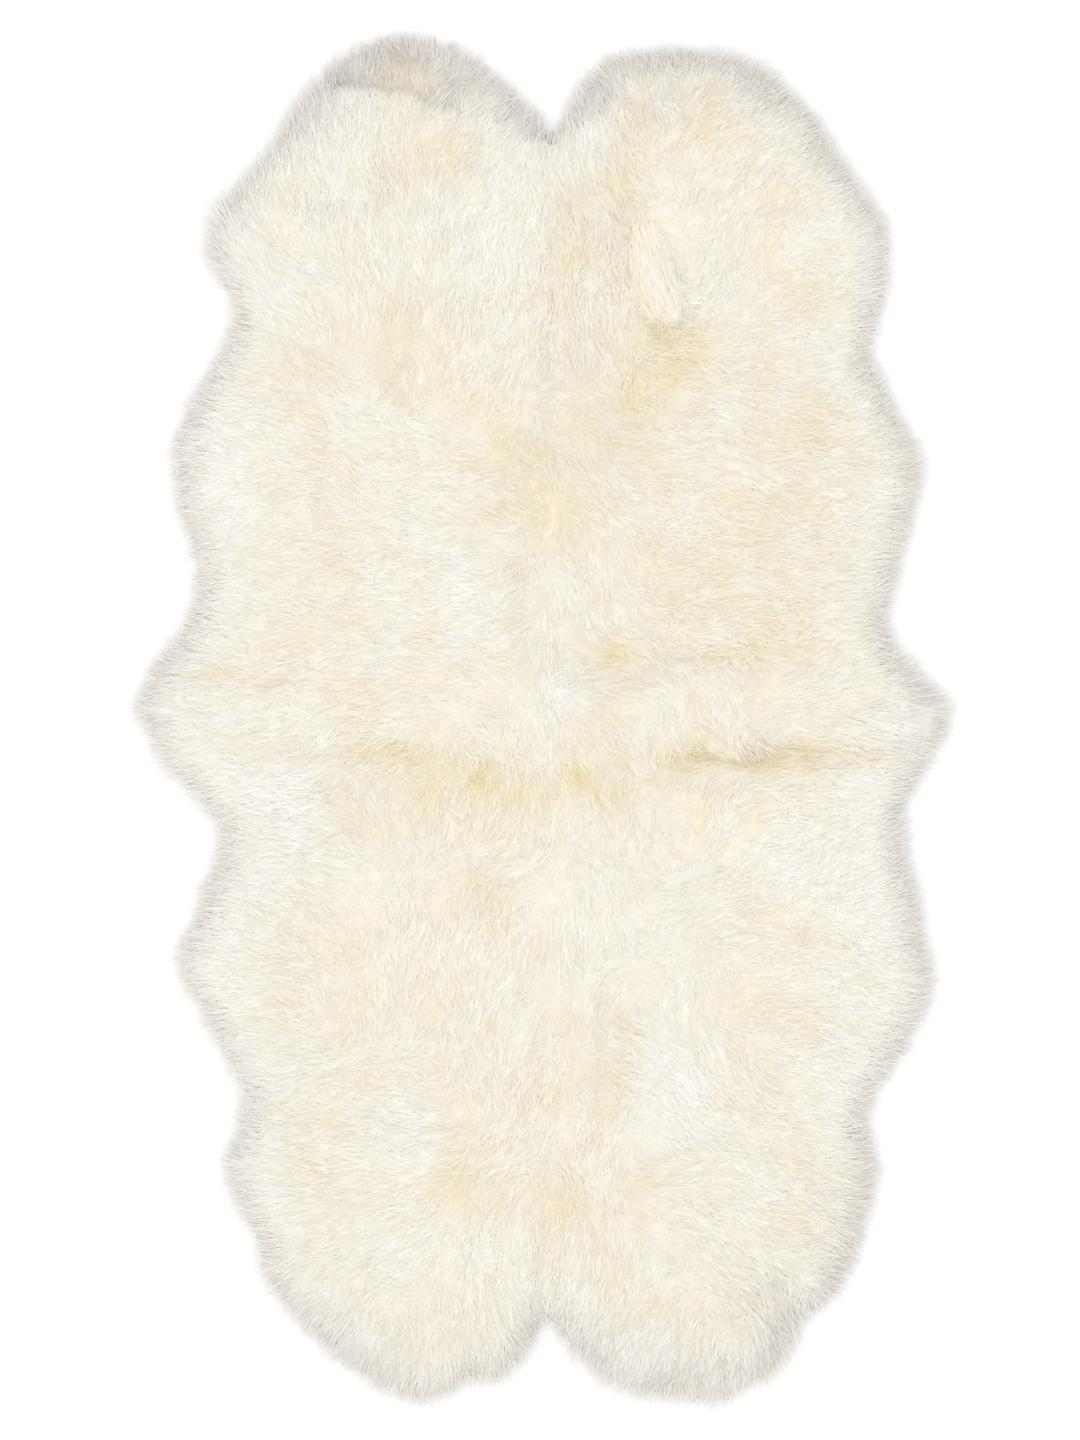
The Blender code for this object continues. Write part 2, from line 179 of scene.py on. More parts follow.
# ------------------------------------------------ partings in the wool
# name, depth, half width, then the points it passes
CREASES = (
    ("right neck, high",       0.0045, 0.017, (0.130, 0.815), (0.121, 0.760), (0.122, 0.700)),
    ("right neck lip, side",   0.0062, 0.012, (0.120, 0.694), (0.108, 0.650), (0.113, 0.606), (0.128, 0.562), (0.146, 0.530)),
    ("right neck lip",         0.0065, 0.011, (0.150, 0.524), (0.168, 0.508), (0.188, 0.512), (0.202, 0.534)),
    ("right neck lip, fold",   0.0025, 0.013, (0.222, 0.562), (0.246, 0.571), (0.275, 0.575)),
    ("right neck, tail",       0.0040, 0.026, (0.165, 0.493), (0.140, 0.450), (0.125, 0.400)),
    ("back, hollow",           0.0032, 0.024, (-0.006, 0.345), (-0.012, 0.290), (-0.015, 0.215)),
    ("back, parting",          0.0040, 0.011, (-0.013, 0.205), (-0.016, 0.140), (-0.012, 0.053)),
    ("back, right hollow",     0.0050, 0.018, (0.072, 0.133), (0.080, 0.090), (0.095, 0.060)),
    ("left leg",               0.0050, 0.009, (-0.469, 0.063), (-0.400, 0.058), (-0.335, 0.056)),
    ("left neck, level",       0.0050, 0.012, (-0.300, 0.683), (-0.235, 0.690), (-0.175, 0.686), (-0.130, 0.696)),
    ("left neck, slanted",     0.0060, 0.012, (-0.207, 0.726), (-0.148, 0.734), (-0.087, 0.760)),
    ("left neck, short",       0.0050, 0.010, (-0.307, 0.596), (-0.275, 0.603), (-0.236, 0.588)),
    ("left shoulder",          0.0040, 0.018, (-0.188, 0.520), (-0.196, 0.470), (-0.182, 0.427)),
    ("left rib, dimple",       0.0045, 0.012, (-0.288, 0.346), (-0.293, 0.306), (-0.270, 0.284)),
    ("left flank, by the edge", 0.0035, 0.010, (-0.462, 0.430), (-0.470, 0.380), (-0.462, 0.330)),
    ("lower left, tail",       0.0022, 0.022, (-0.072, -0.120), (-0.058, -0.165), (-0.055, -0.241)),
    ("lower left mound's rim", 0.0034, 0.010, (-0.280, -0.085), (-0.256, -0.110), (-0.243, -0.135), (-0.244, -0.170)),
    ("right rump, round the mound", 0.0045, 0.009, (0.132, 0.069), (0.170, 0.086), (0.219, 0.093), (0.272, 0.086), (0.312, 0.069)),
    ("lower left, loin",       0.0030, 0.022, (-0.055, -0.388), (-0.100, -0.440), (-0.148, -0.488)),
    ("lower left, neck",       0.0030, 0.020, (-0.110, -0.640), (-0.070, -0.632), (-0.035, -0.625)),
    ("lower right, back",      0.0045, 0.018, (0.095, -0.370), (0.100, -0.450), (0.079, -0.548)),
    ("lower right, neck",      0.0035, 0.018, (0.039, -0.628), (0.070, -0.660), (0.105, -0.695)),
    ("right shoulder, ring",   0.0075, 0.010, (0.322, -0.752), (0.298, -0.765), (0.292, -0.788), (0.312, -0.800)),
)

# --------------------------------------------- mounds and hollows
# name, x, y, reach along x, reach along y, height
MOUNDS = (
    ("lower left mound",    -0.318, -0.121, 0.055, 0.050,  0.007),
    ("right neck lip",       0.168,  0.572, 0.026, 0.045,  0.005),
    ("back tuft",            0.019,  0.039, 0.030, 0.030,  0.004),
    ("right loin mound",     0.212, -0.308, 0.060, 0.040,  0.004),
    ("right rib mound",      0.146, -0.455, 0.045, 0.050,  0.004),
    ("right rib hollow",     0.199, -0.588, 0.050, 0.035, -0.005),
    ("left neck hollow",    -0.215, -0.775, 0.040, 0.030, -0.003),
    ("left rib dimple",     -0.268,  0.320, 0.026, 0.026, -0.003),
    ("right leg flap",       0.452, -0.008, 0.050, 0.020,  0.004),
    ("right rump mound",     0.224,  0.037, 0.052, 0.038,  0.005),
    ("left flank mound",    -0.388, -0.254, 0.045, 0.060,  0.003),
    ("left shoulder mound", -0.162, -0.561, 0.070, 0.035,  0.004),
    ("left loin mound",     -0.075,  0.160, 0.040, 0.040,  0.003),
)

# -------------------------------------------------- tints of the wool
# name, x, y, reach along x, reach along y, warmth (more is creamier)
TINTS = (
    ("left neck band",     -0.210,  0.875, 0.080, 0.034,  0.60),
    ("right neck hollow",   0.172,  0.492, 0.042, 0.030,  0.52),
    ("right neck, below",   0.125,  0.415, 0.045, 0.065,  0.42),
    ("right neck crease",   0.122,  0.700, 0.024, 0.060,  0.32),
    ("right neck top",      0.187,  0.787, 0.040, 0.040,  0.50),
    ("back hollow",        -0.012,  0.268, 0.050, 0.090,  0.36),
    ("back, right hollow",  0.082,  0.086, 0.042, 0.034,  0.65),
    ("seam, left of back", -0.080, -0.076, 0.100, 0.030,  0.34),
    ("seam, by the spine",  -0.010, -0.092, 0.060, 0.020,  0.36),
    ("seam, far left",     -0.250, -0.034, 0.110, 0.016,  0.34),
    ("seam, right",         0.250, -0.044, 0.100, 0.020,  1.05),
    ("seam, right of back",  0.070, -0.078, 0.090, 0.020,  0.30),
    ("tail, left",         -0.055, -0.187, 0.030, 0.050,  0.26),
    ("right shoulder",      0.346,  0.373, 0.060, 0.050,  0.25),
    ("left rib",           -0.268,  0.313, 0.050, 0.045,  0.16),
    ("left shoulder",      -0.188,  0.473, 0.040, 0.045,  0.12),
    ("right rump",          0.300,  0.100, 0.060, 0.040,  0.25),
    ("lower left neck",    -0.068, -0.608, 0.045, 0.030,  0.22),
    ("lower back",          0.039, -0.641, 0.040, 0.040,  0.20),
    ("upper right, open",   0.200,  0.250, 0.140, 0.110,  0.18),
    ("upper left, open",   -0.130,  0.180, 0.110, 0.100,  0.10),
    ("lower left mound",   -0.322, -0.105, 0.050, 0.050, -0.48),
    ("back tuft",           0.012,  0.039, 0.030, 0.040, -0.46),
    ("left loin mound",    -0.078,  0.160, 0.045, 0.055, -0.45),
    ("lower left mound's rim", -0.246, -0.138, 0.012, 0.045, 0.20),
    ("left leg crease",    -0.395,  0.059, 0.060, 0.010,  0.55),
    ("left neck, inner",   -0.085,  0.610, 0.060, 0.090, -0.32),
    ("lower right, open",   0.300, -0.200, 0.120, 0.100, -0.20),
    ("lower right flank",   0.420, -0.255, 0.070, 0.100, -0.40),
    ("left flank, high",   -0.430,  0.325, 0.060, 0.120, -0.32),
    ("left flank",         -0.410, -0.260, 0.060, 0.100, -0.42),
    ("lower left, loin",   -0.145, -0.545, 0.070, 0.050, -0.38),
    ("lower right, loin",   0.165, -0.480, 0.050, 0.070, -0.42),
)

# ------------------------------------------------ broad places painted darker: painted shade of valleys, slits, dimples and edges, with duller wool
# name, x, y, reach along x, reach along y, dullness and painted shade (below nought, painted lighter)
SHADE_AND_DULL_SPOTS = (
    ("right of the upper spine",  0.060,  0.600, 0.050, 0.190,  0.26),
    ("right of the spine, low",   0.085,  0.400, 0.050, 0.080,  0.20),
    ("upper right neck",          0.130,  0.810, 0.080, 0.050,  0.16),
    ("upper right",               0.260,  0.340, 0.190, 0.210,  0.10),
    ("lower right neck",          0.220, -0.770, 0.130, 0.110,  0.16),
    ("lower left neck",          -0.200, -0.760, 0.120, 0.100,  0.13),
    ("back, left of the spine",  -0.014,  0.130, 0.012, 0.120,  0.22),
    ("back, right of the spine",  0.066,  0.080, 0.014, 0.070,  0.22),
    ("under the seam, left",     -0.080, -0.070, 0.110, 0.010,  0.10),
    ("under the seam, right",     0.260, -0.043, 0.110, 0.015,  0.62),
    ("ring dimple",               0.298, -0.772, 0.022, 0.022,  0.30),
    ("lower right edge",          0.395, -0.700, 0.040, 0.080,  0.22),
    ("left flank, low",          -0.395, -0.380, 0.060, 0.120, -0.10),
    ("upper spine, low",         -0.004,  0.312, 0.020, 0.095,  0.13),
    ("notch",                     0.013,  0.775, 0.030, 0.040, -0.35),
)

# -------------------------------------- which way the wool lies
# name, x, y, reach, direction in degrees from +X
LAYS = (
    ("upper left crown",                -0.188,  0.860, 0.053,   92),
    ("upper left crown, left",          -0.275,  0.807, 0.047,   96),
    ("upper left crown, right",         -0.101,  0.811, 0.040,   58),
    ("upper left by the notch",         -0.028,  0.780, 0.037,   62),
    ("upper left lobe, edge",           -0.388,  0.707, 0.053,   96),
    ("upper left lobe, left",           -0.322,  0.694, 0.053,   95),
    ("upper left lobe",                 -0.215,  0.680, 0.060,   91),
    ("upper left lobe, right",          -0.101,  0.700, 0.047,   62),
    ("upper left lobe, inner",          -0.035,  0.653, 0.047,   88),
    ("upper left chest",                -0.208,  0.547, 0.060,   90),
    ("upper left chest, right",         -0.115,  0.560, 0.047,   84),
    ("upper left chest, inner",         -0.035,  0.520, 0.047,   86),
    ("left foreleg",                    -0.426,  0.643, 0.033,  122),
    ("left foreleg, in",                -0.372,  0.597, 0.037,  128),
    ("left armpit",                     -0.402,  0.520, 0.047,  168),
    ("left armpit, in",                 -0.322,  0.533, 0.040,  135),
    ("left shoulder, out",              -0.275,  0.493, 0.037,  120),
    ("left shoulder tuft",              -0.195,  0.460, 0.035,  -94),
    ("left shoulder, in",               -0.115,  0.447, 0.040,   62),
    ("left shoulder, spine",            -0.035,  0.400, 0.040,   80),
    ("left flank, high",                -0.409,  0.400, 0.060,  171),
    ("left flank, high, in",            -0.282,  0.407, 0.043,  163),
    ("left ribs, high",                 -0.175,  0.357, 0.047,  186),
    ("left ribs, spine",                -0.068,  0.353, 0.033,  205),
    ("left flank",                      -0.415,  0.266, 0.067,  178),
    ("left rib dimple",                 -0.292,  0.309, 0.033,  150),
    ("left ribs",                       -0.162,  0.266, 0.060,  181),
    ("left ribs, low",                  -0.282,  0.173, 0.067,  180),
    ("left loin",                       -0.095,  0.186, 0.047,  184),
    ("left back",                       -0.028,  0.266, 0.029,  150),
    ("left leg root",                   -0.429,  0.119, 0.053,  166),
    ("left rump",                       -0.242,  0.093, 0.060,  181),
    ("left rump, in",                   -0.108,  0.106, 0.040,  196),
    ("left back, low",                  -0.041,  0.146, 0.032,  228),
    ("left leg",                        -0.469,  0.026, 0.053,  172),
    ("left leg, in",                    -0.322,  0.019, 0.060,  184),
    ("left of the seam's middle",       -0.188,  0.006, 0.047,  190),
    ("over the seam, left",             -0.097, -0.030, 0.032,  -14),
    ("over the seam, middle",           -0.015, -0.034, 0.032,  -70),
    ("spine, neck",                      0.007,  0.694, 0.033,   91),
    ("spine, shoulder",                  0.001,  0.520, 0.033,   89),
    ("spine, chest",                     0.005,  0.400, 0.029,  -86),
    ("right crown, left",                0.079,  0.854, 0.040,  124),
    ("right crown",                      0.152,  0.874, 0.033,  108),
    ("right crown, right",               0.252,  0.854, 0.047,   52),
    ("right neck, left",                 0.052,  0.760, 0.043,   92),
    ("right neck, crease",               0.116,  0.760, 0.033,  104),
    ("right neck tuft",                  0.159,  0.811, 0.024,   60),
    ("right neck",                       0.219,  0.774, 0.040,   28),
    ("right lobe",                       0.319,  0.774, 0.053,   36),
    ("right lobe, out",                  0.399,  0.680, 0.053,   22),
    ("right lobe, in",                   0.232,  0.674, 0.037,   80),
    ("right lobe, low",                  0.299,  0.647, 0.043,   52),
    ("right neck, low",                  0.065,  0.613, 0.043,   91),
    ("right lip",                        0.162,  0.607, 0.035,  -68),
    ("right of the lip",                 0.246,  0.580, 0.032,   70),
    ("right foreleg",                    0.426,  0.573, 0.053,   12),
    ("right chest",                      0.332,  0.547, 0.043,   24),
    ("right neck hollow",                0.199,  0.493, 0.033,  -15),
    ("right neck, under",                0.079,  0.480, 0.035,   92),
    ("right chest, low",                 0.332,  0.440, 0.060,    2),
    ("right armpit",                     0.437,  0.443, 0.029,   44),
    ("right shoulder, in",               0.132,  0.427, 0.024,  100),
    ("right shoulder, spine",            0.065,  0.386, 0.032,  -66),
    ("right shoulder, low",              0.159,  0.373, 0.037,   -8),
    ("right ribs, high",                 0.292,  0.333, 0.060,   -8),
    ("right flank, high",                0.453,  0.333, 0.053,    5),
    ("right ribs, spine",                0.079,  0.306, 0.035,  -48),
    ("right back",                       0.059,  0.213, 0.035,  -78),
    ("right back, out",                  0.119,  0.220, 0.032,  -62),
    ("right ribs",                       0.239,  0.226, 0.060,   -2),
    ("right flank",                      0.426,  0.213, 0.060,    2),
    ("right back, low",                  0.041,  0.133, 0.029,  -86),
    ("right loin",                       0.112,  0.126, 0.032,  -52),
    ("right rump, high",                 0.266,  0.113, 0.053,   -4),
    ("right leg root",                   0.453,  0.106, 0.051,   12),
    ("back tuft",                        0.025,  0.042, 0.024,    6),
    ("back tuft, over",                  0.016,  0.106, 0.024,   58),
    ("right hollow",                     0.085,  0.079, 0.024,   24),
    ("right rump, tousled",              0.139,  0.069, 0.024,  -40),
    ("right rump, turned",               0.206,  0.039, 0.027,  -84),
    ("right rump, turned back",          0.272,  0.042, 0.024, -104),
    ("right rump, out",                  0.346,  0.033, 0.035,   12),
    ("right leg",                        0.479,  0.026, 0.053,    4),
    ("over the seam, right of middle",   0.079, -0.021, 0.032,  -35),
    ("over the seam, right",             0.159, -0.021, 0.029, -120),
    ("over the seam, far right",         0.266, -0.021, 0.027,  -75),
    ("under the seam, far left",        -0.455, -0.047, 0.053,  184),
    ("under the seam, left",            -0.282, -0.057, 0.040,  200),
    ("lower left mound",                -0.342, -0.127, 0.045,  179),
    ("mound's rim",                     -0.226, -0.107, 0.027,  -58),
    ("lower left tail, out",            -0.182, -0.154, 0.029,  -42),
    ("lower left tail",                 -0.101, -0.121, 0.040,  -88),
    ("lower spine, tail",               -0.001, -0.121, 0.040,  -87),
    ("lower left flank, high",          -0.422, -0.221, 0.051,  182),
    ("lower left loin, out",            -0.275, -0.221, 0.037,  168),
    ("lower left loin",                 -0.195, -0.268, 0.037,  -62),
    ("lower left back",                 -0.101, -0.281, 0.053,  -89),
    ("lower left flank",                -0.409, -0.348, 0.056,  178),
    ("lower left ribs, out",            -0.322, -0.368, 0.035,  146),
    ("lower left ribs",                 -0.228, -0.374, 0.037,  -72),
    ("lower left back, low",            -0.108, -0.388, 0.045,  -88),
    ("lower left flank, low",           -0.362, -0.475, 0.056,  176),
    ("lower left shoulder",             -0.202, -0.495, 0.051,  169),
    ("lower left withers",              -0.081, -0.475, 0.035,  -58),
    ("lower left shoulder, low",        -0.295, -0.601, 0.060,  180),
    ("lower left neck, high",           -0.148, -0.595, 0.043,  188),
    ("lower left neck, inner",          -0.055, -0.588, 0.035,  218),
    ("lower left foreleg",              -0.368, -0.675, 0.051,  185),
    ("lower left neck",                 -0.188, -0.695, 0.045,  200),
    ("lower left neck, low",            -0.081, -0.702, 0.040,  246),
    ("lower left neck side",            -0.322, -0.788, 0.043,  226),
    ("lower left crown",                -0.215, -0.815, 0.051,  252),
    ("lower left crown, inner",         -0.108, -0.842, 0.045,  268),
    ("lower left notch",                -0.035, -0.802, 0.032,  286),
    ("lower spine",                      0.005, -0.281, 0.037,  -90),
    ("lower spine, withers",             0.009, -0.481, 0.035,  -90),
    ("lower spine, neck",                0.005, -0.668, 0.032,  -92),
    ("lower right tail",                 0.079, -0.114, 0.037,  -92),
    ("lower right tail, out",            0.159, -0.148, 0.035, -106),
    ("lower right leg",                  0.426, -0.067, 0.056,    6),
    ("lower right rump",                 0.239, -0.134, 0.040,   58),
    ("lower right thigh",                0.346, -0.174, 0.053,   32),
    ("lower right flank, high",          0.453, -0.241, 0.053,   18),
    ("lower right back",                 0.079, -0.254, 0.043,  -88),
    ("lower right loin",                 0.186, -0.261, 0.037,   30),
    ("lower right ribs, high",           0.306, -0.281, 0.048,   14),
    ("lower right rib mound",            0.092, -0.354, 0.029, -128),
    ("lower right ribs",                 0.212, -0.374, 0.035,  -96),
    ("lower right flank",                0.439, -0.361, 0.060,    2),
    ("lower right ribs, out",            0.312, -0.381, 0.043,   -4),
    ("lower right withers",              0.105, -0.461, 0.037,  -14),
    ("lower right shoulder, turned",     0.246, -0.468, 0.035,  -60),
    ("lower right flank, low",           0.426, -0.475, 0.053,  -12),
    ("lower right shoulder",             0.199, -0.535, 0.032,  -46),
    ("lower right neck, high",           0.092, -0.548, 0.029, -110),
    ("lower right foreleg",              0.372, -0.575, 0.060,   -2),
    ("lower right neck, inner",          0.052, -0.628, 0.029,  -62),
    ("lower right neck",                 0.172, -0.628, 0.040,    8),
    ("lower right shoulder, low",        0.346, -0.668, 0.048,   -4),
    ("lower right neck, low",            0.092, -0.715, 0.040,  -88),
    ("lower right neck, out",            0.239, -0.702, 0.037,  -10),
    ("lower right neck side",            0.413, -0.708, 0.040,  -28),
    ("ring dimple",                      0.306, -0.768, 0.029,  -60),
    ("lower right crown, inner",         0.079, -0.808, 0.037, -102),
    ("lower right crown, left",          0.152, -0.828, 0.037, -120),
    ("lower right crown",                0.232, -0.862, 0.040, -104),
    ("lower right crown, right",         0.332, -0.802, 0.045,  -72),
)

# ------------------------------------- locks that lie over the rest
# name, half width, strands, height over the wool round it, warmth, then the points it passes
LOCKS = (
    ("right neck lip",        0.028, 1000, 0.0024,  0.10, (0.132, 0.662), (0.145, 0.611), (0.159, 0.567), (0.177, 0.522)),
    ("right neck lip, side",  0.018, 300, 0.0018,  0.08, (0.118, 0.642), (0.128, 0.600), (0.142, 0.562), (0.160, 0.530)),
    ("right neck curls",      0.013, 110, 0.0030, -0.08, (0.172, 0.766), (0.166, 0.797), (0.146, 0.829)),
    ("right neck curls, in",  0.010,  80, 0.0030, -0.08, (0.188, 0.776), (0.180, 0.802), (0.158, 0.818)),
    ("back, down the spine",  0.022, 240, 0.0008,  0.03, (0.009, 0.160), (0.011, 0.080), (0.013, 0.000), (0.014, -0.060)),
    ("back, fan",             0.018, 130, 0.0022, -0.08, (-0.008, 0.070), (0.010, 0.040), (0.026, -0.002)),
    ("back, fan's right",     0.013,  90, 0.0022, -0.08, (-0.010, 0.034), (0.018, 0.042), (0.050, 0.056)),
    ("right leg flap",        0.016, 200, 0.0022, -0.06, (0.405, 0.008), (0.459, -0.001), (0.512, -0.018)),
    ("over the seam, right",  0.014, 110, 0.0018,  0.00, (0.152, 0.004), (0.170, -0.020), (0.186, -0.046)),
    ("right slit's tuft",     0.011,  90, 0.0020,  0.00, (0.205, -0.004), (0.222, -0.024), (0.243, -0.043)),
    ("lower left tuft",       0.012,  90, 0.0018, -0.08, (-0.136, -0.104), (-0.118, -0.118), (-0.099, -0.134)),
    ("left neck, tousled",    0.014, 130, 0.0030,  0.00, (-0.150, 0.806), (-0.118, 0.846), (-0.084, 0.874)),
    ("left neck, tousled 2",  0.013, 120, 0.0030,  0.00, (-0.112, 0.786), (-0.072, 0.822), (-0.040, 0.838)),
    ("left neck, tousled 3",  0.012, 100, 0.0025,  0.00, (-0.150, 0.850), (-0.136, 0.880), (-0.112, 0.900)),
    ("left neck, tousled 4",  0.012, 100, 0.0025,  0.00, (-0.068, 0.776), (-0.034, 0.796), (-0.004, 0.806)),
)

# how strongly the wool hangs over the cross seam, along it
# landmark, x, strength
LIPS = (
    ("left leg tip",      -0.535, 0.10),
    ("left leg",          -0.455, 0.25),
    ("left leg root",     -0.322, 0.55),
    ("left haunch",       -0.228, 0.50),
    ("left rump",         -0.148, 0.52),
    ("left tail",         -0.035, 0.55),
    ("middle",             0.032, 0.52),
    ("right tail",         0.105, 0.46),
    ("right tail, out",    0.166, 0.65),
    ("right slit",         0.219, 0.86),
    ("right slit's end",   0.292, 0.74),
    ("right haunch",       0.359, 0.75),
    ("right flap",         0.453, 0.60),
    ("right leg",          0.513, 0.35),
    ("right leg tip",      0.539, 0.15),
)


# ================================================================ geometry
def spline(rows, step):
    """Points every `step` or so on a smooth curve through a table's rows."""
    p = np.array([r[1:3] for r in rows], float)
    q = np.vstack([2 * p[0] - p[1], p, 2 * p[-1] - p[-2]])
    dense = []
    for i in range(1, len(q) - 2):
        p0, p1, p2, p3 = q[i - 1:i + 3]
        t1 = math.sqrt(np.linalg.norm(p1 - p0))
        t2 = t1 + math.sqrt(np.linalg.norm(p2 - p1))
        t3 = t2 + math.sqrt(np.linalg.norm(p3 - p2))
        t = np.linspace(t1, t2, 40, endpoint=False)[:, None]
        a1 = (t1 - t) / t1 * p0 + t / t1 * p1
        a2 = (t2 - t) / (t2 - t1) * p1 + (t - t1) / (t2 - t1) * p2
        a3 = (t3 - t) / (t3 - t2) * p2 + (t - t2) / (t3 - t2) * p3
        b1 = (t2 - t) / t2 * a1 + t / t2 * a2
        b2 = (t3 - t) / (t3 - t1) * a2 + (t - t1) / (t3 - t1) * a3
        dense.append((t2 - t) / (t2 - t1) * b1 + (t - t1) / (t2 - t1) * b2)
    dense = np.vstack(dense + [q[-2:-1]])
    return even(dense, step)


def even(line, step):
    s = np.concatenate([[0], np.cumsum(np.linalg.norm(np.diff(line, axis=0), axis=1))])
    at = np.linspace(0, s[-1], max(3, int(round(s[-1] / step)) + 1))
    return np.stack([np.interp(at, s, line[:, k]) for k in range(line.shape[1])], 1)


def distance(points, line):
    """Distance from each point to a polyline."""
    a, b = line[:-1], line[1:]
    ab = b - a
    L = np.maximum((ab * ab).sum(1), 1e-12)
    out = np.empty(len(points))
    for i in range(0, len(points), 6000):
        p = points[i:i + 6000]
        ax = p[:, 0:1] - a[:, 0]
        ay = p[:, 1:2] - a[:, 1]
        t = np.clip((ax * ab[:, 0] + ay * ab[:, 1]) / L, 0, 1)
        ax -= t * ab[:, 0]
        ay -= t * ab[:, 1]
        out[i:i + 6000] = np.sqrt((ax * ax + ay * ay).min(1))
    return out


def inside(points, loop):
    out = np.empty(len(points), bool)
    a, b = loop, np.roll(loop, -1, axis=0)
    dy = np.where(np.abs(b[:, 1] - a[:, 1]) < 1e-12, 1e-12, b[:, 1] - a[:, 1])
    for i in range(0, len(points), 6000):
        x, y = points[i:i + 6000, 0:1], points[i:i + 6000, 1:2]
        crosses = (a[:, 1] > y) != (b[:, 1] > y)
        at = a[:, 0] + (y - a[:, 1]) * (b[:, 0] - a[:, 0]) / dy
        out[i:i + 6000] = (crosses & (x < at)).sum(1) % 2 == 1
    return out


def unit(v):
    return v / np.maximum(np.linalg.norm(v, axis=-1, keepdims=True), 1e-9)


def ramp(x, lo, hi):
    t = np.clip((x - lo) / (hi - lo), 0, 1)
    return t * t * (3 - 2 * t)


# the solids stand with the middle of their box on the origin
raw = [spline(edge, EDGE_STEP) for _, edge, _, _ in PELTS]
spots = np.vstack(raw)
MIDDLE = (spots.min(0) + spots.max(0)) / 2


def moved(rows):
    return tuple((r[0], r[1] - MIDDLE[0], r[2] - MIDDLE[1], *r[3:]) for r in rows)


def moved_lines(rows):
    return tuple((r[0], r[1], r[2], np.array(r[3:]) - MIDDLE) for r in rows)


SPINE_SEAM, CROSS_SEAM, NECK_RIDGE = moved(SPINE_SEAM), moved(CROSS_SEAM), moved(NECK_RIDGE)
PELTS = tuple((n, moved(e), v, h) for n, e, v, h in PELTS)
MOUNDS, TINTS, LAYS, CREASES = moved(MOUNDS), moved(TINTS), moved(LAYS), moved_lines(CREASES)
SHADE_AND_DULL_SPOTS = moved(SHADE_AND_DULL_SPOTS)
LOCKS = tuple((*r[:5], np.array(r[5:]) - MIDDLE) for r in LOCKS)

FREE = [spline(edge, 0.008) for _, edge, _, _ in PELTS]
OUTLINE = np.vstack([f[:-1] for f in FREE])
SPINE, CROSS, RIDGE = spline(SPINE_SEAM, 0.01), spline(CROSS_SEAM, 0.01), spline(NECK_RIDGE, 0.008)

# ================================================================== fields
# a grid over the rug that holds everything that changes slowly over it
CELL = 0.004
GX = np.arange(-0.66, 0.66 + CELL / 2, CELL)
GY = np.arange(-1.03, 1.03 + CELL / 2, CELL)
NX, NY = len(GX), len(GY)
XX, YY = np.meshgrid(GX, GY)
FLAT = np.stack([XX.ravel(), YY.ravel()], 1)


def blur(f, sigma):
    s = sigma / CELL
    k = np.arange(-int(3 * s) - 1, int(3 * s) + 2)
    w = np.exp(-0.5 * (k / s) ** 2)
    w /= w.sum()
    pad = len(k) // 2
    g = np.pad(f, pad, mode="edge")
    g = sum(w[i] * g[:, i:i + f.shape[1]] for i in range(len(k)))
    return sum(w[i] * g[i:i + f.shape[0], :] for i in range(len(k)))


def noise(scale, seed):
    """Smooth noise over the grid, about -1 to 1, with lumps of that size."""
    rng = np.random.default_rng(seed)
    nx, ny = int(1.32 / scale) + 4, int(2.06 / scale) + 4
    lattice = rng.uniform(-1, 1, (ny, nx))
    u = (XX - GX[0]) / scale + rng.uniform(0, 1)
    v = (YY - GY[0]) / scale + rng.uniform(0, 1)
    i, j = np.floor(u).astype(int), np.floor(v).astype(int)
    fu, fv = u - i, v - j
    fu, fv = fu * fu * (3 - 2 * fu), fv * fv * (3 - 2 * fv)
    return ((lattice[j, i] * (1 - fu) + lattice[j, i + 1] * fu) * (1 - fv)
            + (lattice[j + 1, i] * (1 - fu) + lattice[j + 1, i + 1] * fu) * fv)


def sample(fields, p):
    """Values of stacked fields (k, ny, nx) at points, as (n, k)."""
    u = np.clip((p[:, 0] - GX[0]) / CELL, 0, NX - 1.001)
    v = np.clip((p[:, 1] - GY[0]) / CELL, 0, NY - 1.001)
    i, j = u.astype(int), v.astype(int)
    fu, fv = u - i, v - j
    flat = fields.reshape(len(fields), -1)
    k = j * NX + i
    return (flat[:, k] * ((1 - fu) * (1 - fv)) + flat[:, k + 1] * (fu * (1 - fv))
            + flat[:, k + NX] * ((1 - fu) * fv) + flat[:, k + NX + 1] * (fu * fv)).T


def slopes(f):
    gy, gx = np.gradient(f, CELL)
    return gx, gy


ring = np.vstack([OUTLINE, OUTLINE[:1]])
SD = distance(FLAT, ring)
SD = np.where(inside(FLAT, OUTLINE), SD, -SD).reshape(NY, NX)
gx, gy = slopes(blur(SD, 0.004))
OUT = -np.stack([gx, gy])
OUT /= np.maximum(np.hypot(*OUT), 1e-6)
_foot = np.stack([XX + OUT[0] * SD, YY + OUT[1] * SD], -1).reshape(-1, 2)      # the outline's nearest point
BACK_AT = BACK + sample(np.stack([0.0030 * noise(0.022, 81) + 0.0030 * noise(0.055, 82)
                                  + 0.0045 * ramp(YY, 0.66, 0.84) + 0.0015 * ramp(XX, 0.2, 0.4)]), _foot).reshape(NY, NX)
THICK = SD - BACK_AT                 # how far inside the thick wool

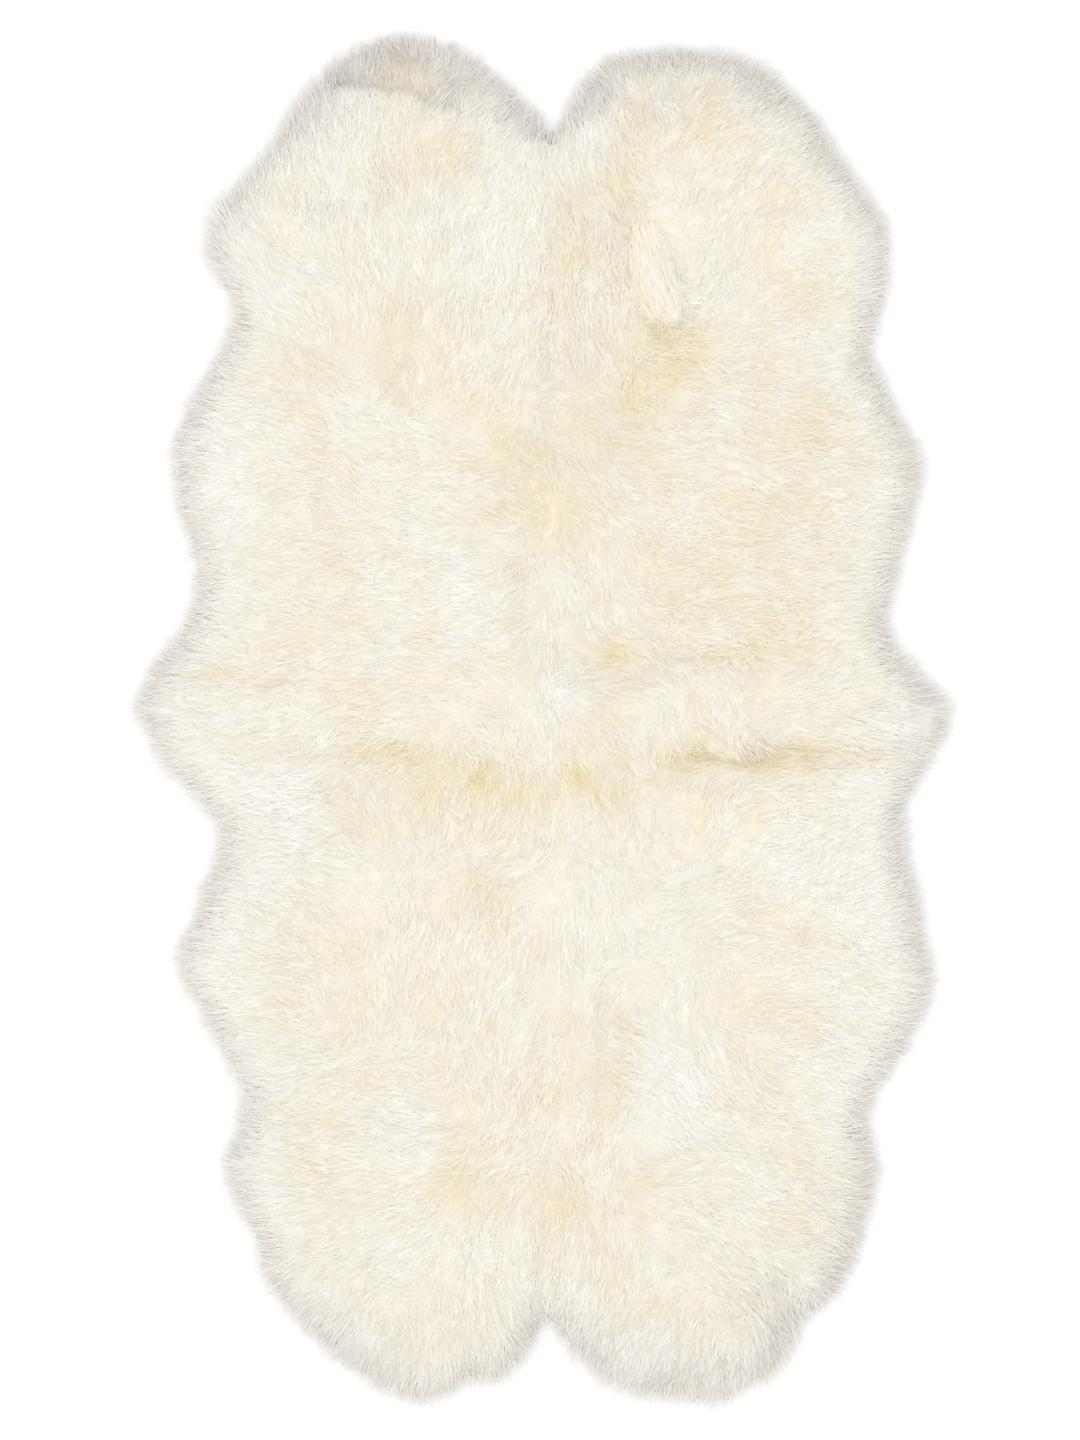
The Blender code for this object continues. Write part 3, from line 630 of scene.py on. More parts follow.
# signed distances to the seams, positive up and to the right
order = np.argsort(SPINE[:, 1])
SPINE_X = np.interp(YY, SPINE[order, 1], SPINE[order, 0])
CROSS_Y = np.interp(XX, CROSS[:, 0], CROSS[:, 1])
UP = YY - CROSS_Y
RIGHT = XX - SPINE_X
RIDGE_Y = np.interp(XX, RIDGE[:, 0], RIDGE[:, 1])
order = None
PAST_RIDGE = (YY - RIDGE_Y) * 0.95
RIDGE_ON = ramp(XX, RIDGE[0, 0], RIDGE[0, 0] + 0.03)
STEP = 1 - ramp(XX, -0.170, -0.085)        # how sharply the thick wool ends there
LIP = np.interp(XX, [r[1] for r in LIPS], [r[2] for r in LIPS])     # strength of the bank over the cross seam


def rounded(u, depth, width):
    """A drop of that depth at u = 0, rolling up to nothing at u = width."""
    t = np.clip(u / width, 0, 1)
    return depth * (1 - np.sqrt(1 - (1 - t) ** 2))


def build_height():
    """The wool's height over its rim, for each zone."""
    open_ = np.full((NY, NX), PILE - RIM_Z)
    open_ += 0.0012 * np.sin(19.0 * (XX + MIDDLE[0]) + 7.0 * (YY + MIDDLE[1]) + 0.8)
    open_ += 0.0010 * np.sin(23.0 * (YY + MIDDLE[1]) - 11.0 * (XX + MIDDLE[0]) + 2.1)
    for _, mx, my, rx, ry, rise in MOUNDS:
        open_ += rise * np.exp(-((XX - mx) / rx) ** 2 - ((YY - my) / ry) ** 2)
    # no parting runs straight, or as deep all the way
    bent = FLAT + np.stack([0.006 * noise(0.060, 51) + 0.005 * noise(0.024, 52),
                            0.006 * noise(0.060, 53) + 0.005 * noise(0.024, 54)], -1).reshape(-1, 2)
    for i, (_, depth, half, line) in enumerate(CREASES):
        r = distance(bent, line).reshape(NY, NX)
        wobble = 0.85 + 0.6 * noise(0.035, 500 + i)
        open_ -= depth * wobble * np.exp(-(r / half) ** 2)
    # clumps of wool, larger and tighter
    open_ += 0.0016 * noise(0.055, 11) + 0.0011 * noise(0.026, 12) + 0.0006 * noise(0.014, 13)
    zones = []
    along = noise(0.06, 21)
    along2 = noise(0.07, 22)
    for zone, (up, right) in enumerate(((1, -1), (1, 1), (-1, 1), (-1, -1), (1, -1))):
        h = open_.copy()
        if up > 0:
            # the upper pelts' wool hangs over the cross seam as a soft bank
            h -= rounded(UP + OVER, (0.0052 + 0.0008 * along2) * (0.20 + 0.80 * LIP), 0.030)
        else:
            # and the lower pelts' wool rises slowly out from under it
            deep = (0.0056 + 0.0008 * along2) * (0.25 + 0.75 * LIP)
            h -= deep * np.exp(-(np.minimum(UP, 0) / 0.030) ** 2)
        if up > 0:
            # a soft valley beside the spine, wider on its right
            side = RIGHT - 0.010
            deep = 0.0015 + 0.0045 * ramp(YY, 0.30, 0.46)
            h -= deep * np.exp(-(side / np.where(side < 0, 0.017, 0.042)) ** 2)
        else:
            deep = 0.001 + 0.006 * ramp(-YY, 0.55, 0.78)
            h -= deep * np.exp(-(RIGHT / 0.018) ** 2)
        if zone == UL:
            h -= RIDGE_ON * rounded(-PAST_RIDGE + 0.004 + 0.003 * along, 0.002 + 0.008 * STEP, 0.016)
        if zone == NECK:
            h -= RIDGE_ON * (0.002 + 0.010 * STEP + (0.10 + 0.06 * STEP) * np.clip(PAST_RIDGE, 0, 0.07))
        zones.append(np.maximum(h, 0.006))
    return np.stack(zones)


OVER = (0.003 + 0.007 * LIP) * (1 + 0.25 * noise(0.05, 23))           # how far it hangs over
HEIGHT = build_height()
STEEP = np.stack([np.stack(slopes(h)) for h in HEIGHT])     # zone, axis, y, x


def lowest(h):
    """The lowest height within some 8 mm."""
    for _ in range(2):
        for axis in (0, 1):
            h = np.minimum(h, np.minimum(np.roll(h, 1, axis), np.roll(h, -1, axis)))
    return blur(h, 0.004)


DIP = np.stack([np.maximum(h - lowest(h), 0) for h in HEIGHT])      # how far the bed of wool lies below that


def build_lay():
    """The direction in which the wool lies: out to the edges, and as the table says."""
    wide = blur(SD, 0.022)
    gx, gy = slopes(wide)
    f = -np.stack([gx, gy])
    f *= 0.10 / np.maximum(np.hypot(*f), 0.25)
    total = np.full((NY, NX), 0.10)
    for _, x, y, reach, degrees in LAYS:
        w = np.exp(-((XX - x) ** 2 + (YY - y) ** 2) / reach ** 2)
        f[0] += w * math.cos(math.radians(degrees))
        f[1] += w * math.sin(math.radians(degrees))
        total += w
    f /= total
    loose = 1 - np.hypot(*f)
    # the very edge lies more straight out
    rim = 0.9 * (1 - ramp(SD, 0.0, 0.022))
    f[0] += rim * OUT[0]
    f[1] += rim * OUT[1]
    deep = ramp(SD, 0.03, 0.15)
    turn = (0.06 + 0.10 * deep) * noise(0.085, 32) + (0.10 + 0.20 * deep) * noise(0.040, 33) \
        + (0.12 + 0.24 * deep) * noise(0.019, 34)
    c, s = np.cos(turn), np.sin(turn)
    f = np.stack([c * f[0] - s * f[1], s * f[0] + c * f[1]])
    return f / np.maximum(np.hypot(*f), 1e-6), np.clip(loose, 0, 1)


LAY, LOOSE = build_lay()


def build_warmth():
    """How creamy the wool is: uneven, and more so in the hollows, where its roots show."""
    w = 0.075 + 0.08 * noise(0.11, 41) + 0.07 * noise(0.045, 42) + 0.07 * noise(0.022, 43)
    w += 0.15 * ramp(SD, 0.02, 0.16)
    # thin creamier streaks, where the wool opens
    w += 0.20 * ramp(1 - 3.2 * np.abs(noise(0.035, 44)), 0, 1) * ramp(noise(0.07, 45), -0.2, 0.5) * ramp(SD, 0.03, 0.10)
    w += 0.15 * ramp(1 - 3.0 * np.abs(noise(0.019, 57)), 0, 1) * ramp(noise(0.06, 58), -0.4, 0.4) * ramp(SD, 0.03, 0.10)
    uneven = np.clip(0.75 + 0.6 * noise(0.030, 46) + 0.5 * noise(0.014, 47)
                     + 0.9 * ramp(1 - 3.5 * np.abs(noise(0.026, 56)), 0, 1), 0.1, 2.2)
    bx = XX + 0.016 * noise(0.05, 48) + 0.008 * noise(0.02, 49)
    by = YY + 0.016 * noise(0.05, 50) + 0.008 * noise(0.02, 55)
    for _, x, y, rx, ry, more in TINTS:
        w += 0.55 * more * uneven * np.exp(-((bx - x) / rx) ** 2 - ((by - y) / ry) ** 2)
    up, left = UP + 0.5 * OVER > 0, RIGHT < 0
    h = np.where(up, np.where(left, HEIGHT[UL], HEIGHT[UR]), np.where(left, HEIGHT[LL], HEIGHT[LR]))
    relief = blur(h, 0.020) - blur(h, 0.004)
    w += np.clip(42 * relief, -0.12, 0.30) * ramp(SD, 0.02, 0.06)
    w += 0.12 * LIP * np.exp(-((UP + 0.014) / 0.012) ** 2)
    w -= 0.05 * np.exp(-((UP - 0.016) / 0.012) ** 2) * ramp(np.abs(XX), 0.05, 0.12)
    w -= 0.14 * (1 - ramp(SD, 0.015, 0.120)) + 0.08 * (1 - ramp(SD, 0.005, 0.030))
    return np.clip(w, 0, 1)


WARMTH = build_warmth()


def build_dull_and_shade():
    """Dullness and painted shade of the wool: painted shade most on the roll at the edges, and the upper left neck's
    short wool duller and painted darker past its ridge.
    """
    # painted shade of the roll at the edges: darkest some 3 cm in from the thick wool's rim, fading out further in
    rim = ramp(THICK, -0.004, 0.032)
    d = (0.02 + 0.14 * rim) * (1 - ramp(THICK, 0.035, 0.135))
    # past the upper left neck's ridge: duller short wool, and painted shade of the drop and slope beyond it
    neck = (YY > 0.6) & (RIGHT < 0)
    band = ramp(PAST_RIDGE, -0.002, 0.006 + 0.024 * (1 - STEP))
    d += np.where(neck, (0.04 + 0.43 * STEP) * RIDGE_ON * band * ramp(YY, 0.62, 0.70), 0)
    # towards the upper and lower neck ends, near the edges: duller wool, and painted shade of those edges
    d += (0.26 + 0.16 * rim) * ramp(YY, 0.64, 0.86) * (1 - ramp(THICK, 0.030, 0.150)) * np.where(neck, 1 - 0.5 * STEP * band, 1)
    d += (0.12 + 0.17 * rim) * ramp(-YY, 0.66, 0.86) * (1 - ramp(THICK, 0.025, 0.13))
    bx = XX + 0.020 * noise(0.05, 73) + 0.010 * noise(0.02, 74)
    by = YY + 0.020 * noise(0.05, 75) + 0.010 * noise(0.02, 76)
    # the listed places: painted shade, and painted lighter where the value is below nought
    for _, x, y, rx, ry, more in SHADE_AND_DULL_SPOTS:
        d += more * np.exp(-((bx - x) / rx) ** 2 - ((by - y) / ry) ** 2)
    d += 0.10 * ramp(1 - 3.2 * np.abs(noise(0.024, 77)), 0, 1) * ramp(noise(0.08, 78), -0.3, 0.4) * ramp(SD, 0.03, 0.10)
    d *= 1 + 0.35 * noise(0.05, 71) + 0.25 * noise(0.02, 72)
    return np.clip(d, 0, 1)


DULL_AND_SHADE = build_dull_and_shade()
SPREAD = np.clip(slopes(LAY[0])[0] + slopes(LAY[1])[1], 0, 60)      # how fast the lay parts, 1/m
LOOSE = ramp(blur(LOOSE, 0.006), 0.30, 0.90) + ramp(blur(SPREAD, 0.006), 8, 40)
LOOSE += 0.30 * ramp(PAST_RIDGE, 0, 0.01) * ramp(YY, 0.6, 0.7) * (RIGHT < 0) * RIDGE_ON
LOOSE = np.clip(LOOSE, 0, 1)

# ================================================= the roll at the wool's edge
# along = length up the wool's outer skin from where it meets the floor; inset and height there
_t = np.linspace(0, 1, 60)
_under = np.stack([UNDER_ROLL * (1 - np.sin(_t * math.pi / 2)), RIM_Z * (1 - np.cos(_t * math.pi / 2))], 1)
_over = np.stack([EDGE_ROLL * (1 - np.cos(_t * math.pi / 2)), RIM_Z + (PILE - RIM_Z) * np.sin(_t * math.pi / 2)], 1)
_roll = np.vstack([_under, _over[1:]])
_along = np.concatenate([[0], np.cumsum(np.linalg.norm(np.diff(_roll, axis=0), axis=1))])
A_RIM, A_TOP = _along[59], _along[-1]
_tan = unit(np.gradient(_roll, axis=0))


def inset_at(a):
    return np.where(a < A_TOP, np.interp(a, _along, _roll[:, 0]), EDGE_ROLL + a - A_TOP)


def along_at(inset):
    """The place on the roll's upper part at that inset."""
    return np.where(inset < EDGE_ROLL, np.interp(inset, _roll[59:, 0], _along[59:]), A_TOP + inset - EDGE_ROLL)


def surface(p, a, zone):
    """The place and the normal of the wool's outer skin."""
    inset = inset_at(a)
    t = np.clip(1 - inset / EDGE_ROLL, 0, 1)
    roll = np.sqrt(1 - t * t)
    h = np.empty(len(p))
    sx, sy = np.empty(len(p)), np.empty(len(p))
    for z in range(5):
        m = zone == z
        if m.any():
            got = sample(np.stack([HEIGHT[z], STEEP[z, 0], STEEP[z, 1]]), p[m])
            h[m], sx[m], sy[m] = got.T
    tu = np.clip(1 - inset / UNDER_ROLL, 0, 1)
    below = a < A_RIM
    z = np.where(below, RIM_Z * (1 - np.sqrt(1 - tu * tu)), RIM_Z + roll * h)
    tan_in = np.where(a < A_TOP, np.interp(a, _along, _tan[:, 0]), 1.0)
    tan_up = np.where(a < A_TOP, np.interp(a, _along, _tan[:, 1]), 0.0)
    out = sample(OUT, p)
    n = np.stack([0.68 * out[:, 0] * tan_up, 0.68 * out[:, 1] * tan_up, tan_in + 0.34 * tan_up], 1)
    k = np.where(below, 0, roll * np.maximum(tan_in, 0))
    n[:, 0] -= k * sx
    n[:, 1] -= k * sy
    return np.column_stack([p, z]), unit(n)


def advance(p, a, d, step):
    """Moves over the wool's outer skin from (p, a) in direction d."""
    n = sample(OUT, p)
    un = (d * n).sum(1)
    ut = d - un[:, None] * n
    a1 = np.maximum(a - un * step, 0.002)
    was, now = inset_at(a), inset_at(a1)
    p1 = p + ut * step[:, None] + n * (was - now)[:, None]
    got = sample(np.stack([THICK, OUT[0], OUT[1]]), p1)
    open_ = a1 > A_TOP
    a1 = np.where(open_, along_at(np.maximum(got[:, 0], EDGE_ROLL)), a1)
    p1 = p1 + got[:, 1:3] * np.where(open_, 0, got[:, 0] - now)[:, None]
    return p1, a1


# ================================================================= strands
# the wool of neighbours meets along an uneven line
_ragged = 0.006 * noise(0.013, 61) + 0.005 * noise(0.035, 62)
ZONES = np.stack([UP + 0.5 * OVER + 0.5 * _ragged, RIGHT + _ragged, PAST_RIDGE + 0.6 * _ragged, RIDGE_ON])


def zone_of(p):
    got = sample(ZONES, p)
    zone = np.where(got[:, 0] > 0, np.where(got[:, 1] > 0, UR, UL), np.where(got[:, 1] > 0, LR, LL))
    return np.where((zone == UL) & (got[:, 2] > 0) & (got[:, 3] > 0.3), NECK, zone)


def scatter(spacing, seed):
    """Places over the whole outer skin of the wool, down to the floor, about evenly spaced."""
    rng = np.random.default_rng(seed)
    # the open top
    nx, ny = int(1.2 / spacing), int(1.95 / (spacing * 0.866))
    j, i = np.meshgrid(np.arange(ny), np.arange(nx), indexing="ij")
    p = np.stack([-0.6 + (i + 0.5 * (j % 2)) * spacing, -0.975 + j * spacing * 0.866], -1).reshape(-1, 2)
    p += rng.uniform(-0.42, 0.42, p.shape) * spacing
    s = sample(THICK[None], p)[:, 0]
    p, s = p[s > EDGE_ROLL], s[s > EDGE_ROLL]
    a = along_at(s)
    # the roll
    fine = even(np.vstack([OUTLINE, OUTLINE[:1]]), 0.002)[:-1]
    low = 0.006
    rows = int((A_TOP - low) / (spacing * 0.866))
    per = int(len(fine) * 0.002 / spacing)
    q = (np.arange(per)[None, :] + 0.5 * (np.arange(rows)[:, None] % 2)) / per
    q = (q + rng.uniform(-0.42, 0.42, q.shape) / per) % 1.0
    b = low + (np.arange(rows)[:, None] + 0.5 + rng.uniform(-0.42, 0.42, q.shape)) * (A_TOP - low) / rows
    k = (q * len(fine)).astype(int).ravel() % len(fine)
    b = b.ravel()
    edge = fine[k]
    n = sample(OUT, edge)
    inset = inset_at(b)
    pe = edge - n * (inset + sample(BACK_AT[None], edge)[:, 0])[:, None]
    got = sample(THICK[None], pe)[:, 0]
    ok = np.abs(got - inset) < 0.25 * inset + 0.0015
    pe, b = pe[ok], b[ok]
    return np.vstack([p, pe]), np.concatenate([a, b])


STATIONS = (0.0, 0.34, 0.68, 1.0)


def grow(p, a, zone, turn, bend, length, pull, to, offs, stiff, stations=STATIONS):
    """Strands from their roots: the place and normal of each at each station.

    turn, bend: angle added to the lay at the root, and more of it towards the tip; pull, to: how
    hard and to which place (relative) the strand closes in sideways; offs: height over the outer
    skin at each station; stiff: how much it goes on straight, instead of down over the edge."""
    places, normals = [], []
    q, b = p.copy(), a.copy()
    last = 0.0
    for k, t in enumerate(stations):
        if k:
            for part in range(2):
                step = (t - last) / 2 * length
                lay = unit(sample(LAY, q))
                angle = turn + bend * (last + (t - last) * (part + 0.5) / 2)
                c, s = np.cos(angle), np.sin(angle)
                d = np.stack([c * lay[:, 0] - s * lay[:, 1], s * lay[:, 0] + c * lay[:, 1]], 1)
                side = np.stack([-d[:, 1], d[:, 0]], 1)
                d = unit(d + side * (to * pull)[:, None])
                q, b = advance(q, b, d, step)
            run = (t - last) * length
            last = t
        at, n = surface(q, b, zone)
        at = at + n * offs[k][:, None]
        if k >= 2:
            near_edge = stiff * (1 - ramp(b, A_RIM + 0.028, A_RIM + 0.070))
            ahead = unit(places[-1] - places[-2])
            ahead[:, 2] -= 0.08
            straight = places[-1] + unit(ahead) * run[:, None]
            at += (straight - at) * near_edge[:, None]
            n = unit(n + near_edge[:, None] * 0.5 * (normals[-1] - n))
        places.append(at)
        normals.append(n)
    return places, normals


def joined(a, b):
    return [[np.vstack(q) for q in zip(a[0], b[0])], [np.vstack(q) for q in zip(a[1], b[1])]] \
        + [np.concatenate(q) for q in zip(a[2:], b[2:])]


def kept(part):
    """Leaves out the strands that would double back where the lay turns."""
    places = part[0]
    ok = np.ones(len(part[2]), bool)
    for a, b, c in zip(places, places[1:], places[2:]):
        ok &= (unit(b - a) * unit(c - b)).sum(1) > 0.35
        ok &= np.linalg.norm(c - b, axis=1) > 0.0012
    return [[q[ok] for q in part[0]], [q[ok] for q in part[1]]] + [q[ok] for q in part[2:]]


def cover(parts):
    """How often the strands cover each place of the rug."""
    total = np.zeros(NY * NX)
    for part in parts:
        places, width = part[0], part[2]
        for a, b in zip(places, places[1:]):
            area = np.linalg.norm(b[:, :2] - a[:, :2], axis=1) * width * 0.75 / 4
            for t in (0.125, 0.375, 0.625, 0.875):
                q = a + (b - a) * t
                i = np.clip(((q[:, 0] - GX[0]) / CELL + 0.5).astype(int), 0, NX - 1)
                j = np.clip(((q[:, 1] - GY[0]) / CELL + 0.5).astype(int), 0, NY - 1)
                total += np.bincount(j * NX + i, area, NY * NX)
    return blur(total.reshape(NY, NX) / CELL ** 2, 0.004)


def blades(name, places, normals, width, roll, u, dull_and_shade, tone, edge, v, mats):
    """One mesh of tapered blades: a point at the root, crossbars at the stations, and a tip."""
    shade_n = (SHADE + (EDGE_SHADE - SHADE) * edge)[:, None, None]
    n, K = len(width), len(places)
    P = np.stack(places, 1)
    N = np.stack(normals, 1)
    P[:, :, 2] = np.maximum(P[:, :, 2], 0.0007)
    T = np.empty_like(P)
    T[:, 1:-1] = P[:, 2:] - P[:, :-2]
    T[:, 0], T[:, -1] = P[:, 1] - P[:, 0], P[:, -1] - P[:, -2]
    T = unit(T)
    S = unit(np.cross(T, N))
    up = unit(np.cross(S, T))
    c, s = np.cos(roll)[:, None, None], np.sin(roll)[:, None, None]
    S = c * S + s * up
    blade_n = unit(np.cross(S, T))
    V = np.empty((n, 2 * K - 2, 3))
    V[:, 0], V[:, -1] = P[:, 0], P[:, -1]
    k = [0]
    side = [0.0]
    for i in range(1, K - 1):
        w = (0.5 * width * (1.0, 0.86, 0.66)[i - 1])[:, None]
        V[:, 2 * i - 1] = P[:, i] - S[:, i] * w
        V[:, 2 * i] = P[:, i] + S[:, i] * w
        k += [i, i]
        side += [-1.0, 1.0]
    k.append(K - 1)
    side.append(0.0)
    k, side = np.array(k), np.array(side)
    V[:, :, 2] = np.maximum(V[:, :, 2], 0.0006)
    nn = unit((1 - shade_n) * N[:, k] + shade_n * blade_n[:, k])
    uu = u[:, None] + 0.006 * side[None]
    # the map's v drops towards the grey-brown with dullness and painted shade
    vv = (0.50 - 0.46 * dull_and_shade)[:, None] + 0.48 * np.asarray(v)[None, k] * ((1 - tone) * (1 - 0.7 * dull_and_shade))[:, None]
    corners, sizes = [0, 2, 1], [3]
    for i in range(1, K - 2):
        corners += [2 * i - 1, 2 * i, 2 * i + 2, 2 * i + 1]
        sizes.append(4)
    corners += [2 * K - 5, 2 * K - 4, 2 * K - 3]
    sizes.append(3)
    per = 2 * K - 2
    loops = ((np.arange(n) * per)[:, None] + np.array(corners)).ravel()
    starts = (np.arange(n) * len(corners))[:, None] + np.concatenate([[0], np.cumsum(sizes)[:-1]])
    me = bpy.data.meshes.new(name)
    me.vertices.add(n * per)
    me.vertices.foreach_set("co", V.astype(np.float32).ravel())
    me.loops.add(len(loops))
    me.loops.foreach_set("vertex_index", loops.astype(np.int32))
    me.polygons.add(n * len(sizes))
    me.polygons.foreach_set("loop_start", starts.astype(np.int32).ravel())
    me.update(calc_edges=True)
    me.polygons.foreach_set("use_smooth", np.ones(n * len(sizes), bool))
    uv = me.uv_layers.new(name="OFBake", do_init=False)
    both = np.stack([uu.ravel(), vv.ravel()], 1)[loops]
    uv.uv.foreach_set("vector", np.clip(both, 0.002, 0.998).astype(np.float32).ravel())
    custom = me.attributes.new("custom_normal", "FLOAT_VECTOR", "POINT")
    custom.data.foreach_set("vector", nn.reshape(-1, 3).astype(np.float32).ravel())
    for m in mats:
        me.materials.append(m)
    ob = bpy.data.objects.new(name, me)
    bpy.context.scene.collection.objects.link(ob)
    return ob


# ================================================================ materials
def principled(name, base, rough, sheen=0.0, sheen_rough=0.5, sheen_tint=(1, 1, 1), spec=0.3):
    m = bpy.data.materials.new(name)
    m.use_nodes = True
    sh = m.node_tree.nodes["Principled BSDF"]
    sh.inputs["Base Color"].default_value = (*base, 1)
    sh.inputs["Roughness"].default_value = rough
    sh.inputs["Specular IOR Level"].default_value = spec
    sh.inputs["Sheen Weight"].default_value = sheen
    sh.inputs["Sheen Roughness"].default_value = sheen_rough
    sh.inputs["Sheen Tint"].default_value = (*sheen_tint, 1)
    return m, m.node_tree, sh


def lin(r, g, b):
    return tuple((c / 255 / 12.92 if c <= 10.31 else ((c / 255 + 0.055) / 1.055) ** 2.4) for c in (r, g, b))


def wool_material(name):
    """Ivory tips over creamier roots; the map's u is the wool's warmth, and v runs from grey-brown duller wool and
    painted shade through the roots to the tips."""
    m, nt, sh = principled(name, (0.9, 0.86, 0.74), 0.75, 0.12, 0.4, (1.0, 0.97, 0.9), 0.18)
    uv = nt.nodes.new("ShaderNodeUVMap")
    uv.uv_map = "OFBake"
    xy = nt.nodes.new("ShaderNodeSeparateXYZ")
    nt.links.new(uv.outputs["UV"], xy.inputs["Vector"])

    def ramp_node(stops):
        r = nt.nodes.new("ShaderNodeValToRGB")
        el = r.color_ramp.elements
        while len(el) > 1:
            el.remove(el[-1])
        el[0].position, el[0].color = stops[0][0], (*stops[0][1], 1)
        for pos, col in stops[1:]:
            e = el.new(pos)
            e.color = (*col, 1)
        return r

    def mixed(factor, a, b):
        mix = nt.nodes.new("ShaderNodeMix")
        mix.data_type = "RGBA"
        nt.links.new(factor.outputs["Color"], mix.inputs["Factor"])
        nt.links.new(a, mix.inputs[6])
        nt.links.new(b, mix.inputs[7])
        return mix.outputs[2]

    tip = ramp_node(((0.0, lin(253, 252, 249)), (0.3, lin(252, 248, 237)), (0.6, lin(250, 243, 221)), (1.0, lin(246, 234, 195))))
    root = ramp_node(((0.0, lin(250, 247, 240)), (0.3, lin(247, 241, 224)), (0.6, lin(244, 234, 204)), (1.0, lin(238, 222, 172))))
    # grey-brown for duller wool and for painted shade
    dull_and_shade = ramp_node(((0.0, lin(221, 216, 214)), (0.4, lin(218, 210, 201)), (1.0, lin(209, 197, 170))))
    for node in (tip, root, dull_and_shade):
        nt.links.new(xy.outputs["X"], node.inputs["Fac"])
    low = ramp_node(((0.0, (0, 0, 0)), (0.25, (0.5,) * 3), (0.50, (1, 1, 1))))
    high = ramp_node(((0.50, (0, 0, 0)), (0.68, (0.5,) * 3), (0.90, (1, 1, 1))))
    for node in (low, high):
        nt.links.new(xy.outputs["Y"], node.inputs["Fac"])
    body = mixed(low, dull_and_shade.outputs["Color"], root.outputs["Color"])
    nt.links.new(mixed(high, body, tip.outputs["Color"]), sh.inputs["Base Color"])
    return m


def suede_material():
    m, nt, sh = principled("suede", (0.75, 0.66, 0.52), 0.92, 0.25, 0.6, (1.0, 0.94, 0.84), 0.15)
    tex = nt.nodes.new("ShaderNodeTexCoord")
    blot = nt.nodes.new("ShaderNodeTexNoise")
    blot.inputs["Scale"].default_value = 9.0
    blot.inputs["Detail"].default_value = 6.0
    blot.inputs["Roughness"].default_value = 0.62
    nt.links.new(tex.outputs["Object"], blot.inputs["Vector"])
    r = nt.nodes.new("ShaderNodeValToRGB")
    r.color_ramp.elements[0].position, r.color_ramp.elements[0].color = 0.30, (*lin(214, 196, 166), 1)
    r.color_ramp.elements[1].position, r.color_ramp.elements[1].color = 0.70, (*lin(234, 220, 196), 1)
    nt.links.new(blot.outputs["Fac"], r.inputs["Fac"])
    nt.links.new(r.outputs["Color"], sh.inputs["Base Color"])
    nap = nt.nodes.new("ShaderNodeTexNoise")
    nap.inputs["Scale"].default_value = 900.0
    nap.inputs["Detail"].default_value = 3.0
    nt.links.new(tex.outputs["Object"], nap.inputs["Vector"])
    bump = nt.nodes.new("ShaderNodeBump")
    bump.inputs["Strength"].default_value = 0.35
    bump.inputs["Distance"].default_value = 0.0006
    nt.links.new(nap.outputs["Fac"], bump.inputs["Height"])
    nt.links.new(bump.outputs["Normal"], sh.inputs["Normal"])
    return m


def thread_material():
    m, nt, sh = principled("thread", (0.80, 0.72, 0.58), 0.6, 0.1, 0.5, (1.0, 0.96, 0.9), 0.35)
    tex = nt.nodes.new("ShaderNodeTexCoord")
    ply = nt.nodes.new("ShaderNodeTexNoise")
    ply.inputs["Scale"].default_value = 650.0
    ply.inputs["Detail"].default_value = 2.0
    nt.links.new(tex.outputs["Object"], ply.inputs["Vector"])
    r = nt.nodes.new("ShaderNodeValToRGB")
    r.color_ramp.elements[0].position, r.color_ramp.elements[0].color = 0.35, (*lin(206, 192, 164), 1)
    r.color_ramp.elements[1].position, r.color_ramp.elements[1].color = 0.65, (*lin(233, 223, 202), 1)
    nt.links.new(ply.outputs["Fac"], r.inputs["Fac"])
    nt.links.new(r.outputs["Color"], sh.inputs["Base Color"])
    return m


# =========================================================== beds and skins
def pelt_loop(k, inset, gap, step):
    """A pelt's outline at an inset from its free edge, up to `gap` from the seams, and how many
    of its points are on the free edge."""
    name, edge, up, right = PELTS[k]
    free = spline(edge, step)
    n = sample(OUT, free)
    p = free - n * inset
    if inset > 0:
        ok = sample(SD[None], p)[:, 0] > 0.92 * inset
        p = p[ok]
    c = np.array(SPINE_SEAM[4][1:3])
    i = int(np.argmin(((SPINE - c) ** 2).sum(1)))
    back = np.vstack([c[None], (SPINE[:i][::-1] if up > 0 else SPINE[i + 1:])])
    j = int(np.argmin(((CROSS - c) ** 2).sum(1)))
    arm = np.vstack([c[None], (CROSS[:j][::-1] if right < 0 else CROSS[j + 1:])])
    back, arm = even(back, step), even(arm, step)
    back = back[sample(SD[None], back)[:, 0] > inset + 0.002]
    arm = arm[sample(SD[None], arm)[:, 0] > inset + 0.002]
    if k in (UL, LR):
        seam = np.vstack([back[::-1], arm[1:]])
    else:
        seam = np.vstack([arm[::-1], back[1:]])
    # clear of the seam, into the pelt
    cross = sample(np.stack([UP, RIGHT]), seam)
    want = np.zeros_like(seam)
    want[:, 1] = np.where(np.abs(cross[:, 0]) < 0.004, up * gap, 0)
    want[:, 0] = np.where(np.abs(cross[:, 1]) < 0.004, right * gap, 0)
    seam = seam + want
    # drop free points that crossed a seam
    got = sample(np.stack([UP, RIGHT]), p)
    p = p[(got[:, 0] * up > gap) & (got[:, 1] * right > gap)]
    return np.vstack([p, seam]), len(p)


